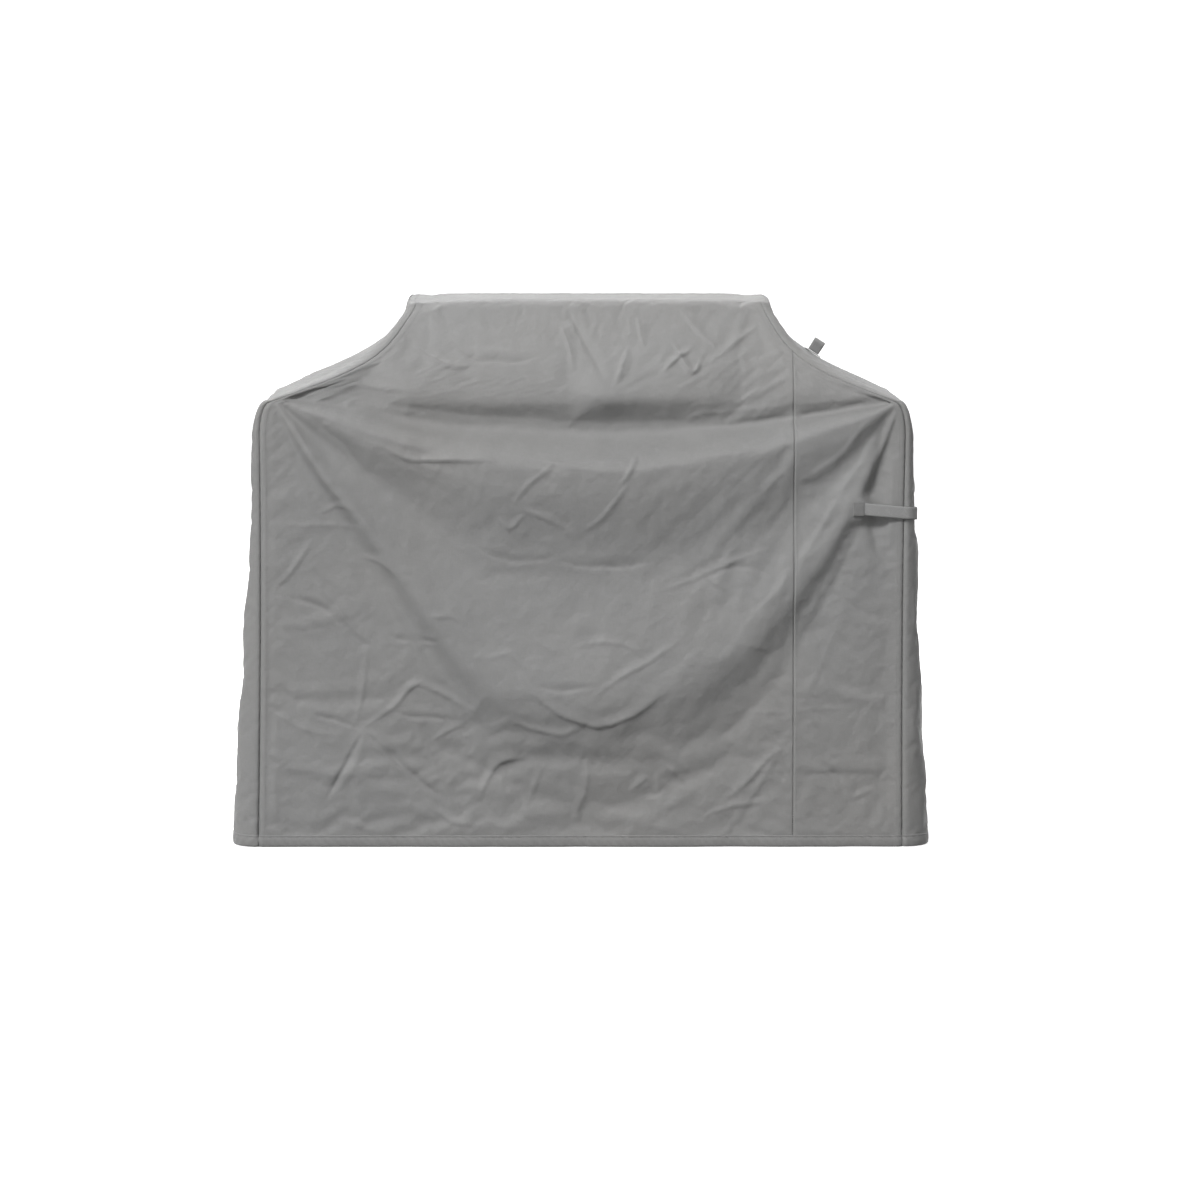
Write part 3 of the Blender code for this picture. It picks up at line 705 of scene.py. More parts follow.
def stitches(name, paths, pitch=0.0048, length=0.0034):
    """Lock stitches along paths of (points, normals): short raised threads, ends tucked into the cloth."""
    parts = []
    for points, normals in paths:
        points, normals = np.asarray(points, float), np.asarray(normals, float)
        run = run_along(points)
        for s in np.arange(pitch, run[-1] - pitch, pitch):
            centre = read_at(s + length * np.array([-0.5, -0.2, 0.2, 0.5]), run, points)
            up = unit(read_at(s, run, normals))
            across = np.cross(unit(centre[-1] - centre[0]), up)
            lift = np.array([-0.6, 0.5, 0.5, -0.6]) * THREAD_RADIUS
            size = np.array([0.35, 1.0, 1.0, 0.35]) * THREAD_RADIUS
            ring = []
            for c, h, r in zip(centre, lift, size):
                for k in range(THREAD_SIDES):
                    a = 2 * math.pi * k / THREAD_SIDES
                    ring.append(tuple(c + up * (h + r * math.sin(a)) + across * r * math.cos(a)))
            parts.append((ring, tube_faces(len(centre), THREAD_SIDES)))
    return merged(name, parts)


EDGE_POINTS = 48  # of a row: as far in as anything beside a seam goes


class Panel:
    """A finished panel's outer surface, from which its hem, tape and stitching take their places."""

    def __init__(self, obj, points, normals):
        self.obj, self.points, self.normals = obj, points, normals

    def row_place(self, row, distance, end):
        """The point and normal a distance in from the left (end 0) or right (end -1) edge of a row."""
        inward = slice(EDGE_POINTS) if end == 0 else slice(None, -EDGE_POINTS - 1, -1)
        points, normals = self.points[row, inward], self.normals[row, inward]
        run = run_along(points)
        return read_at(distance, run, points), unit(read_at(distance, run, normals))

    def stitch_line(self, distance, end, first, last=None):
        """A line of stitching a distance in from one edge, over some of the rows."""
        rows = range(first, len(self.points) if last is None else last)
        found = [self.row_place(row, distance, end) for row in rows]
        normals = np.array([n for _, n in found])
        return np.array([p for p, _ in found]) + normals * STITCH_LIFT, normals

    def row_at_height(self, z):
        """The number of the row whose middle is nearest a height."""
        return int(np.argmin(np.abs(self.points[:, self.points.shape[1] // 2, 2] - z)))


def cut_size(uv):
    """Width, length and area of a panel's pattern laid flat, before it is folded and settled."""
    low, high = uv.min(axis=(0, 1)), uv.max(axis=(0, 1))
    one, other = uv[1:, 1:] - uv[:-1, :-1], uv[1:, :-1] - uv[:-1, 1:]
    area = 0.5 * np.abs(one[..., 0] * other[..., 1] - one[..., 1] * other[..., 0]).sum()
    return float(high[0] - low[0]), float(high[1] - low[1]), float(area)


def finish_panel(name, node, points, uv, outward, creases, rolls=(SEAM_ROLL, SEAM_ROLL)):
    """Adds creases and rolled seam edges to a settled grid and makes its closed sheet."""
    normals = grid_normals(points, outward)
    window = edge_window(points.shape, 6)
    points = points + normals * (creases * window)[..., None]
    width = np.linalg.norm(np.diff(points, axis=1), axis=2)
    run = np.concatenate([np.zeros((len(points), 1)), np.cumsum(width, axis=1)], axis=1)
    from_edge = np.minimum(run, run[:, -1:] - run)
    rolls = [np.broadcast_to(np.asarray(r, float).reshape(-1, 1), (len(points), 1)) for r in rolls]
    seam_roll = np.where(run < run[:, -1:] / 2, rolls[0], rolls[1])
    seam_roll = seam_roll * (1 - 0.6 * smooth((points[..., 2] - SHOULDER_TOP) / 0.02))
    pucker = 1 + 0.35 * np.sin(uv[..., 1] * 2 * math.pi / 0.021) * np.sin(uv[..., 1] * 57.0)
    roll = -seam_roll * np.exp(-(from_edge / 0.0035) ** 2) * pucker
    ridge = 0.45 * seam_roll * np.exp(-((from_edge - 0.009) / 0.005) ** 2) * pucker
    points = points + normals * (roll + ridge)[..., None]
    normals = grid_normals(points, outward)
    obj = closed_sheet(name, points, points - normals * CLOTH, uv)
    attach(obj, "cover")
    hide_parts(node)
    width, length, area = cut_size(uv)
    return Panel(obj, points, normals)


def from_seams(x, z):
    """How far a point of the front or back is from its nearer side seam."""
    return np.minimum(x - seam_x(z, LEFT), seam_x(z, RIGHT) - x)


def near(x, z, place, reach):
    """1 at a place, falling off round it."""
    return np.exp(-((x - place[0]) ** 2 + (z - place[1]) ** 2) / reach**2)


def make_face_panel(name, face, left, right, z_high, over_top, folds, creases, spare, seed):
    """One cloth panel of the front or back, folded, settled and creased."""
    grid = FRONT_GRID if face == FRONT else GRID
    points, uv = face_grid(face, left, right, CLOTH_LOW, z_high, over_top, grid)
    outward = np.array([0.0, face, 0.35])
    x, z = points[..., 0].copy(), points[..., 2].copy()
    on_top = (z > HEIGHT - 1e-6) & (points[..., 1] > HOOD_FRONT + 1e-6) & over_top
    window = smooth(from_seams(x, z) / 0.035)
    off_top = np.where(on_top, 0.0, smooth((HEIGHT - z) / 0.02 + 0.25 * (z < HEIGHT)))
    if over_top:
        points = rounded_hood(points)
    amount = (swell(x, z) + folds(x, z)) * window * off_top
    points[..., 1] += face * amount
    if over_top:
        y = points[..., 1]
        inside = np.where(on_top, smooth((y - HOOD_FRONT) / 0.05) * smooth((HOOD_BACK - y) / 0.05), 0.0)
        points[..., 2] -= inside * window * (0.0012 + 0.0016 * (1 + lattice_noise(x, y, 0.11, seed)))
    if face == FRONT:
        points = meet_anchor(points, "right_strap_anchor", FRONT)
    elif name == "back_panel":
        points = meet_anchor(points, "left_strap_anchor", BACK)
    points = soften_corners(points)
    anchor = ANCHOR_AT if face == FRONT else (-ANCHOR_AT[0], ANCHOR_AT[1])
    held = np.maximum(1 - window, near(x, z, anchor, 0.03))
    held = np.where(on_top, 0.4, np.maximum(held, 0.13))
    points = settle(points, held, spare)
    detail = creases(x, z) * np.where(on_top, 0.0, 1.0) * smooth(from_seams(x, z) / 0.02)
    detail = detail * (1 - near(x, z, anchor, 0.028))
    detail += 0.0007 * lattice_noise(x, z + points[..., 1], 0.030, seed + 1)
    detail += 0.0004 * lattice_noise(x, z + points[..., 1], 0.013, seed + 2)
    if name.endswith("filler_panel"):
        rolls = (JOIN_ROLL, SEAM_ROLL)
    else:
        rolls = (SEAM_ROLL, np.where(z[:, -1] < TIP_Z, JOIN_ROLL, SEAM_ROLL))
    return finish_panel(f"{name}_cloth", name, points, uv, outward, detail, rolls)


def rounded_hood(points):
    """Rounds the hood's front edge off: a little in the middle, and more towards its two ends."""
    x, y, z = points[..., 0], points[..., 1].copy(), points[..., 2].copy()
    reach = 0.026 + 0.016 * smooth((-x - 0.13) / 0.20) + 0.010 * smooth((x - 0.20) / 0.18)
    slope = (HOOD_FRONT + SHELF_DEPTH) / (HEIGHT - SHOULDER_TOP)
    ahead = np.where(z < HEIGHT - 1e-6, (z - HEIGHT) * math.hypot(1, slope), y - HOOD_FRONT)
    t = np.clip((ahead + reach) / (2 * reach), 0, 1)
    near_edge = (np.abs(ahead) < reach) & (z > SHOULDER_TOP)
    tangent = np.array([slope, 1.0]) / math.hypot(1, slope)
    start_y, start_z = HOOD_FRONT - reach * tangent[0], HEIGHT - reach * tangent[1]
    bend_y = (1 - t) ** 2 * start_y + 2 * t * (1 - t) * HOOD_FRONT + t**2 * (HOOD_FRONT + reach)
    bend_z = (1 - t) ** 2 * start_z + 2 * t * (1 - t) * HEIGHT + t**2 * HEIGHT
    inside = from_seams(x, z)
    keep = (0.25 + 0.75 * smooth(inside / 0.05)) * smooth(inside / 0.004)
    out = points.copy()
    out[..., 1] = np.where(near_edge, mix(y, bend_y, keep), y)
    out[..., 2] = np.where(near_edge, mix(z, bend_z, keep), z)
    return out


def soften_corners(points):
    """Lowers the hood's four top corners, on whichever panel they lie."""
    out = points.copy()
    for x, dip in ((-HOOD_LEFT, 0.010), (HOOD_RIGHT, 0.008)):
        for y in (HOOD_FRONT, HOOD_BACK):
            gap = ((points - np.array([x, y, HEIGHT])) ** 2).sum(axis=-1)
            out[..., 2] -= dip * np.exp(-gap / 0.045**2)
    return out


def meet_anchor(points, anchor, face):
    """Brings the cloth to the underside of the strap's anchor, as it is in the frame."""
    _, _, middle = box_of(anchor)
    side = 1 if middle[0] > 0 else -1
    inner = middle[1] - face * ANCHOR_THICK / 2
    x, y, z = points[..., 0], points[..., 1], points[..., 2]
    target = inner - face * (x - middle[0]) * side * anchor_tilt(anchor) - face * 0.0010
    away = np.hypot(x - middle[0], z - middle[2])
    reach = np.exp(-(np.maximum(away - 0.014, 0) / 0.018) ** 2)
    points = points.copy()
    points[..., 1] = mix(y, target, reach)
    return points


SIDE_FOLDS = (  # each upright fold's place in y, width and height
    (-0.20, 0.040, 0.005), (-0.09, 0.055, -0.010), (0.02, 0.045, 0.005), (0.12, 0.050, -0.009),
    (0.21, 0.035, 0.005),
)


def side_folds(side, y, z, seed):
    """Soft upright folds below the shelf's end and shallow dips across the sloping cloth above it."""
    drop = SHOULDER_START - z
    below = smooth(drop / 0.12)
    folds = 0.0
    for k, (place, width, height) in enumerate(SIDE_FOLDS):
        drift = 0.05 * side * math.sin(seed + k) * drop
        folds = folds + height * np.exp(-((y - place - drift) / (width * (1 + 0.6 * drop))) ** 2)
    sag = 0.005 * np.sin(math.pi * np.clip((z - 0.45) / 0.40, 0, 1)) ** 2 * np.cos(y * 9.0 + side)
    above = smooth((z - SHOULDER_TOP) / 0.03) * smooth((HEIGHT - z) / 0.03)
    dips = -0.010 * above * np.clip(1 - (y / 0.25) ** 2, 0, 1)
    dips = dips + 0.0035 * above * np.sin(y * 34 + 20 * z + seed)
    return folds * below + sag * below + dips + 0.003 * lattice_noise(y, z, 0.12, seed)


def make_side_panel(name, side, seed):
    """The cloth of one side, held still under its loop patch and, on the right, its hanging loop."""
    points, uv = side_grid(side, CLOTH_LOW)
    outward = np.array([side, 0.0, 0.6])
    y, z = points[..., 1].copy(), points[..., 2].copy()
    length = uv[..., 0]
    from_edge = np.minimum(length, length[:, -1:] - length)
    _, _, patch = box_of(("right" if side == RIGHT else "left") + "_strap_loop_patch")
    from_patch = np.hypot((y - patch[1]) / 1.3, z - patch[2])
    still = np.exp(-(np.maximum(from_patch - 0.022, 0) / 0.02) ** 2)
    window = smooth((from_edge - 0.012) / 0.05) * (1 - still)
    loop = np.zeros(y.shape)
    if side == RIGHT:
        _, _, base = box_of("hanging_loop_base")
        loop = near(y, z, base[1:], 0.035)
        window = window * (1 - loop)
    normals = grid_normals(points, outward)
    points = soften_corners(points + normals * (side_folds(side, y, z, seed) * window)[..., None])
    held = np.maximum(np.maximum(1 - smooth(from_edge / 0.03), still), np.maximum(loop, 0.08))
    held = np.maximum(held, 0.6 * smooth((z - SHOULDER_START) / 0.04))
    points = settle(points, held, SIDE_SPARE)
    detail = scattered_creases(y, z, seed + 5, 46, ((-0.26, 0.04), (0.26, 1.10)), height=0.0022)
    detail = (detail + crumple(y, z, 401 + seed)) * window
    detail += 0.0007 * lattice_noise(y, z + points[..., 0], 0.030, seed + 1)
    detail += 0.0004 * lattice_noise(y, z + points[..., 0], 0.013, seed + 2)
    return finish_panel(f"{name}_cloth", name, points, uv, outward, detail)


def back_folds(x, z):
    d = swag(-x, z, 0.75)
    return d + 0.0040 * lattice_noise(x, z, 0.15, 17) * smooth((0.93 - z) / 0.1)


def back_creases(x, z):
    d = crumple(x, z, 301) + scattered_creases(x, z, 71, 110, ((-0.62, 0.05), (0.62, 0.93)), height=0.0038)
    return d + scattered_creases(x, z, 72, 12, ((-0.38, 0.97), (0.40, 1.12)), height=0.0030)


# ---------------------------------------------------------------- hems, tapes, straps and loop

HEM_SECTION = (  # the band's outline: out from the cloth, and up
    (0.0009, 0.0250), (0.0014, 0.0244), (0.0015, 0.0225), (0.0008, 0.0210), (0.0015, 0.0195),
    (0.0020, 0.0140), (0.0020, 0.0070), (0.0015, 0.0022), (0.0006, 0.0005), (-0.0004, 0.0001),
    (-0.0014, 0.0007), (-0.0020, 0.0030),
    (-0.0021, 0.0100), (-0.0017, 0.0185), (-0.0012, 0.0245), (-0.0002, 0.0250),
)


def make_hem(name, line, normals, seed):
    """A doubled band round the foot of the panels, gently roped between its stitches."""
    line, normals = np.array(line), np.array(normals)
    normals[:, 2] = 0
    run = run_along(line)
    at = np.linspace(0, run[-1], int(run[-1] / 0.0035))
    normals = unit(read_at(at, run, unit(normals)))
    line = read_at(at, run, line)
    rings = []
    for off, z in HEM_SECTION:
        share = z / HEM_TOP
        uneven = 2.2 * lattice_noise(at, at * 0, 0.06, seed)
        rope = 0.00065 * np.sin(2 * math.pi * (at / 0.019 + 0.8 * share) + uneven)
        rope = rope * smooth((1 - share) / 0.3) * smooth(share / 0.15 + 0.3) * (1 if off > 0 else 0.5)
        wave = 0.0016 * lattice_noise(at, at * 0 + 3.0, 0.045, seed + 1) * (1 - share) * smooth(at / 0.03)
        wave = wave * smooth((run[-1] - at) / 0.03)
        place = line + normals * (off + rope + wave)[:, None]
        lifted = np.maximum(0, lattice_noise(at, at * 0 + 9.0, 0.05, seed + 2))
        place[:, 2] = z + 0.0004 * lifted * (1 - share)
        rings.append(place)
    rings = np.array(rings)
    number, length = rings.shape[:2]
    verts = rings.transpose(1, 0, 2).reshape(-1, 3)
    obj = add_mesh(f"{name}_band", verts.tolist(), tube_faces(length, number))
    turn_outward(obj)
    section = run_along(np.array(HEM_SECTION))
    loops = np.array([loop.vertex_index for loop in obj.data.loops])
    add_uv(obj, np.stack([at[loops // number], section[loops % number]], 1))
    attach(obj, "cover")
    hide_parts(name)
    stitch = line + normals * 0.0009
    stitch[:, 2] = 0.0210
    return obj, (stitch, normals)


def turn_outward(obj):
    bm = bmesh.new()
    bm.from_mesh(obj.data)
    bmesh.ops.recalc_face_normals(bm, faces=bm.faces)
    bm.to_mesh(obj.data)
    bm.free()


def make_tape(name, grid, normals, width):
    """A strip of tape 0.6 mm thick, lying 1.4 mm inside the cloth along a seam."""
    outer = grid - normals * (CLOTH + 0.0014)
    inner = grid - normals * (CLOTH + 0.0020)
    along = run_along(grid[:, 0])
    uv = np.stack(np.meshgrid(np.linspace(0, width, grid.shape[1]), along), -1)
    obj = closed_sheet(f"{name}_strip", outer, inner, uv)
    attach(obj, "cover")
    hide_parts(name)
    return obj


def tape_beside(panel, end, rows, width=TAPE_WIDTH, start=0.0045):
    """The grid of a tape along a panel's left (0) or right (-1) edge."""
    places, ups = [], []
    for row in rows:
        found = [panel.row_place(row, start + width * k / 4, end) for k in range(5)]
        places.append([p for p, _ in found])
        ups.append([n for _, n in found])
    return np.array(places), np.array(ups)


def turned(panel, columns):
    """The grid of a tape under a panel's top edge, between two of its columns."""
    return (panel.points[-6:-1, columns].transpose(1, 0, 2),
            panel.normals[-6:-1, columns].transpose(1, 0, 2))


def ribbon(name, centre, across, normal, width, thickness):
    """Webbing along a path: points, and the directions across it and out of it at each."""
    t = np.linspace(-0.5, 0.5, 9)
    half = thickness / 2 * np.where(np.abs(t) > 0.46, 0.45, 1.0)[None, :, None]
    middle = centre[:, None] + across[:, None] * (t * width)[None, :, None]
    uv = np.stack(np.meshgrid(t * width, run_along(centre)), -1)
    return closed_sheet(name, middle + normal[:, None] * half, middle - normal[:, None] * half, uv)


UP = np.array([0.0, 0.0, 1.0])


def strap_line(side, face):
    """The strap's centre line from under its anchor to its tip, with its outward normals."""
    prefix = "right" if side == RIGHT else "left"
    hinge = joint_of(f"{prefix}_strap_hinge")["pos_m"]
    seam_z, tip_z = hinge[2] - 0.0077, hinge[2] - 0.0147
    _, _, front, back, corner = (float(v) for v in outline(seam_z))
    edge = front if face == FRONT else back
    seam = float(seam_x(seam_z, side))
    out = 0.0051
    points = []
    tilt = anchor_tilt(f"{prefix}_strap_anchor")
    start = (hinge[0] - side * 0.020, hinge[1] - face * -0.020 * tilt + face * 0.0002, hinge[2] + 0.0015)
    stop = (seam, edge + face * out, seam_z)
    middle = (hinge[0], hinge[1], hinge[2])
    for t in np.linspace(0, 1, 9):
        points.append(tuple(mix(a, b, t) for a, b in zip(start, middle)))
    for t in np.linspace(0, 1, 22)[1:]:
        bow = face * 0.0012 * math.sin(math.pi * t)
        p = [mix(a, b, t) for a, b in zip(middle, stop)]
        points.append((p[0], p[1] + bow, p[2]))
    radius = corner + out
    for a in np.linspace(0, math.pi / 2, 13)[1:]:
        x = seam + side * radius * math.sin(a)
        y = edge - face * corner + face * radius * math.cos(a)
        points.append((x, y, mix(seam_z, tip_z, 0.5 * a / (math.pi / 2))))
    for t in np.linspace(0, 1, 20)[1:]:
        y = edge - face * (corner + 0.062 * t)
        lift = 0.0012 * smooth((t - 0.75) / 0.25)
        points.append((seam + side * (radius + lift), y, mix((seam_z + tip_z) / 2, tip_z, t)))
    points = np.array(points)
    along = unit(np.gradient(points, axis=0))
    normals = unit(np.cross(along, UP) * (1 if side * face < 0 else -1))
    return points, np.cross(normals, along), normals, hinge


def make_strap(side, face):
    """A strap with its folded tip, its sewn anchor and its two patches of tape."""
    prefix = "right_strap" if side == RIGHT else "left_strap"
    points, across, normals, hinge = strap_line(side, face)
    strap = ribbon(f"{prefix}_webbing", points, across, normals, 0.0262, 0.0017)
    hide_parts(prefix)
    tip = slice(len(points) - 7, len(points))
    fold = ribbon(f"{prefix}_tip_fold", points[tip] + normals[tip] * 0.0015, across[tip],
                  normals[tip], 0.0250, 0.0013)
    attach(fold, prefix)
    rows = []
    for offset in (-0.0105, 0.0105):
        rows.append((points[tip] + across[tip] * offset + normals[tip] * 0.0022, normals[tip]))
    for where in (-6, -2):
        ends = np.array([points[where] + across[where] * k * 0.0105 + normals[where] * 0.0022
                         for k in np.linspace(-1, 1, 7)])
        rows.append((ends, np.repeat(normals[where][None], 7, axis=0)))
    tip_stitch = stitches(f"{prefix}_tip_stitching", rows, pitch=0.0030, length=0.0022)
    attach(tip_stitch, prefix)
    _, _, middle = box_of(f"{prefix}_anchor")
    lengthwise = unit(np.array([side, -face * anchor_tilt(f"{prefix}_anchor"), 0.0]))
    out = np.cross(lengthwise, UP)
    out *= 1 if out[1] * face > 0 else -1
    half, rise = ANCHOR_HALF
    s, t = np.meshgrid(np.linspace(-1, 1, 15), np.linspace(-1, 1, 15))
    dome = 0.0012 * (1 - s**6) * (1 - t**6) + 0.0002 * lattice_noise(s, t, 0.4, 8)
    grid = middle + lengthwise * (s * half)[..., None] + UP * (t * rise)[..., None]
    outer = grid + out * (0.0004 + dome)[..., None]
    inner = outer - out * 0.0007
    anchor = closed_sheet(f"{prefix}_anchor_cloth", outer, inner, np.stack([s * half, t * rise], -1))
    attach(anchor, "cover")
    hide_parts(f"{prefix}_anchor")
    corners = [(-0.85, -0.85), (0.85, -0.85), (0.85, 0.85), (-0.85, 0.85), (-0.85, -0.85), (0.85, 0.85)]
    box_path = []
    for (a, b), (c, d) in zip(corners, corners[1:]):
        for k in np.linspace(0, 1, 8):
            place = middle + lengthwise * mix(a, c, k) * half + UP * mix(b, d, k) * rise
            box_path.append(place + out * 0.0016)
    thread = stitches(f"{prefix}_anchor_stitching", [(box_path, np.repeat(out[None], len(box_path), axis=0))],
                      pitch=0.0028, length=0.0020)
    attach(thread, "cover")
    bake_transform(strap)
    made_patches = []
    for kind, body in (("hook", prefix), ("loop", "cover")):
        low, high, _ = box_of(f"{prefix}_{kind}_patch")
        s, t = np.meshgrid(np.linspace(-1, 1, 25), np.linspace(-1, 1, 13))
        round_off = (1 - np.abs(s) ** 10) * (1 - np.abs(t) ** 8)
        nap = 0.00025 * lattice_noise(s, t, 0.09, 5) * round_off
        y = mix(low[1], high[1], (s + 1) / 2)
        z = mix(low[2], high[2], (t + 1) / 2)
        outside = high[0] if side == RIGHT else low[0]
        inside = low[0] if side == RIGHT else high[0]
        face_x = inside + (outside - inside) * (0.45 + 0.45 * round_off) + side * nap
        outer = np.stack([face_x, y, z], -1)
        inner = np.stack([np.full(y.shape, inside + side * 0.0001), y, z], -1)
        patch = closed_sheet(f"{prefix}_{kind}_patch_nap", outer, inner, np.stack([y, z], -1))
        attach(patch, body)
        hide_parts(f"{prefix}_{kind}_patch")
        made_patches.append(patch)
    return strap, fold, (thread, tip_stitch), anchor, made_patches


def make_hanging_loop():
    """The loop on the right slope, its sewn base and their stitching."""
    joint = joint_of("hanging_loop_hinge")
    pivot = np.array(joint["pos_m"])
    tangent = unit(np.array(joint["axis"]))
    normal = np.array([-tangent[2], 0.0, tangent[0]])
    depth = np.array([0.0, 1.0, 0.0])
    eye, top = 0.0077, 0.0290
    centre_up = top - 0.0085
    path = [(-0.0009, -0.0010), (-0.0010, 0.0020), (-0.0011, 0.0055)]
    for a in np.linspace(math.radians(232), math.radians(-52), 26):
        path.append((eye * math.cos(a) * (0.80 + 0.20 * math.sin(max(a, 0))), centre_up + eye * math.sin(a)))
    path += [(0.0011, 0.0055), (0.0010, 0.0020), (0.0009, -0.0010)]
    path = np.array(path)
    for _ in range(3):
        path[1:-1] = (path[:-2] + 2 * path[1:-1] + path[2:]) / 4
    points = pivot + depth * path[:, :1] + normal * path[:, 1:]
    outward = np.cross(unit(np.gradient(points, axis=0)), tangent)
    if (outward * (points - (pivot + normal * centre_up))).sum() < 0:
        outward = -outward
    across = np.repeat(tangent[None], len(points), axis=0)
    loop = ribbon("hanging_loop_webbing", points, across, outward, 0.0258, 0.0016)
    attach(loop, "hanging_loop")
    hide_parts("hanging_loop")
    _, _, middle = box_of("hanging_loop_base")
    half, deep = LOOP_BASE_HALF
    s, t = np.meshgrid(np.linspace(-1, 1, 21), np.linspace(-1, 1, 17))
    dome = 0.0011 * (1 - np.abs(s) ** 8) * (1 - np.abs(t) ** 8) + 0.0002 * lattice_noise(s, t, 0.4, 4)
    grid = middle + tangent * (s * half)[..., None] + depth * (t * deep)[..., None]
    outer = grid + normal * (dome - 0.0004)[..., None]
    base = closed_sheet("hanging_loop_base_cloth", outer, outer - normal * 0.0006,
                        np.stack([s * half, t * deep], -1))
    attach(base, "cover")
    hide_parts("hanging_loop_base")
    rows = []
    spots = np.linspace(-0.86, 0.86, 12)
    for k in (spots[0], spots[-1]):
        for line in ([(a, k) for a in spots], [(k, a) for a in spots]):
            line = [middle + tangent * a * half + depth * b * deep + normal * 0.0006 for a, b in line]
            rows.append((line, np.repeat(normal[None], len(spots), axis=0)))
    thread = stitches("hanging_loop_base_stitching", rows, pitch=0.0032, length=0.0024)
    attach(thread, "cover")
    rows = []
    for side in (-1, 1):
        start = pivot + depth * side * 0.0020 + normal * 0.0048
        line = [start + tangent * a * 0.0115 for a in np.linspace(-1, 1, 10)]
        rows.append((line, np.repeat(side * depth[None], 10, axis=0)))
    tab = stitches("hanging_loop_stitching", rows, pitch=0.0030, length=0.0022)
    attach(tab, "hanging_loop")
    return loop, base, (thread, tab)


# ---------------------------------------------------------------- materials

class Nodes:
    """Short calls for building a material's node tree."""

    def __init__(self, name):
        self.material = bpy.data.materials.new(name)
        self.material.use_nodes = True
        self.tree = self.material.node_tree
        self.shader = self.tree.nodes["Principled BSDF"]
        coordinates = self.add("ShaderNodeTexCoord")
        self.place, self.uv = coordinates.outputs["Object"], coordinates.outputs["UV"]

    def add(self, kind, **settings):
        node = self.tree.nodes.new(kind)
        for key, value in settings.items():
            setattr(node, key, value)
        return node

    def link(self, source, target):
        self.tree.links.new(source, target)

    def surface(self, **values):
        """Sets the shader's inputs, each to a number or to another node's output."""
        for key, value in values.items():
            socket = self.shader.inputs[key.replace("_", " ")]
            if isinstance(value, (int, float)):
                socket.default_value = value
            else:
                self.link(value, socket)

    def split(self, vector):
        node = self.add("ShaderNodeSeparateXYZ")
        self.link(vector, node.inputs[0])
        return node.outputs

    def math(self, operation, a, b=None):
        node = self.add("ShaderNodeMath", operation=operation)
        for socket, value in zip(node.inputs, (a, b)):
            if value is None:
                continue
            if isinstance(value, (int, float)):
                socket.default_value = value
            else:
                self.link(value, socket)
        return node.outputs[0]

    def noise(self, vector, scale, detail=3.0, roughness=0.5, stretch=None):
        if stretch:
            mapping = self.add("ShaderNodeMapping")
            mapping.inputs["Scale"].default_value = stretch
            self.link(vector, mapping.inputs["Vector"])
            vector = mapping.outputs["Vector"]
        node = self.add("ShaderNodeTexNoise")
        node.inputs["Scale"].default_value = scale
        node.inputs["Detail"].default_value = detail
        node.inputs["Roughness"].default_value = roughness
        self.link(vector, node.inputs["Vector"])
        return node.outputs["Fac"]

    def blend(self, factor, a, b):
        node = self.add("ShaderNodeMix", data_type="RGBA")
        self.link(factor, node.inputs[0])
        for socket, value in ((node.inputs[6], a), (node.inputs[7], b)):
            if isinstance(value, tuple):
                socket.default_value = (*value, 1.0)
            else:
                self.link(value, socket)
        return node.outputs[2]

    def ramp(self, value, low, high, out_low=0.0, out_high=1.0):
        node = self.add("ShaderNodeMapRange")
        for key, number in (("From Min", low), ("From Max", high), ("To Min", out_low), ("To Max", out_high)):
            node.inputs[key].default_value = number
        self.link(value, node.inputs["Value"])
        return node.outputs["Result"]

    def bump(self, height, distance, strength=1.0, before=None):
        node = self.add("ShaderNodeBump")
        node.inputs["Distance"].default_value = distance
        node.inputs["Strength"].default_value = strength
        self.link(height, node.inputs["Height"])
        if before is not None:
            self.link(before, node.inputs["Normal"])
        return node.outputs["Normal"]


def scaled(colour, share):
    return tuple(c * share for c in colour)


def weave(nodes, pitch):
    """Threads over and under each other: a height from 0 to 1 with one thread to each pitch."""
    along, across, _ = nodes.split(nodes.uv)
    turn = 2 * math.pi / pitch / 2
    u = nodes.math("MULTIPLY", along, turn)
    v = nodes.math("MULTIPLY", across, turn)
    warp = nodes.math("ABSOLUTE", nodes.math("SINE", u))
    weft = nodes.math("ABSOLUTE", nodes.math("SINE", v))
    over = nodes.math("MULTIPLY", nodes.math("COSINE", u), nodes.math("COSINE", v))
    side = nodes.ramp(over, -0.35, 0.35)
    node = nodes.add("ShaderNodeMix", data_type="FLOAT")
    nodes.link(side, node.inputs[0])
    nodes.link(warp, node.inputs[2])
    nodes.link(weft, node.inputs[3])
    return node.outputs[0]


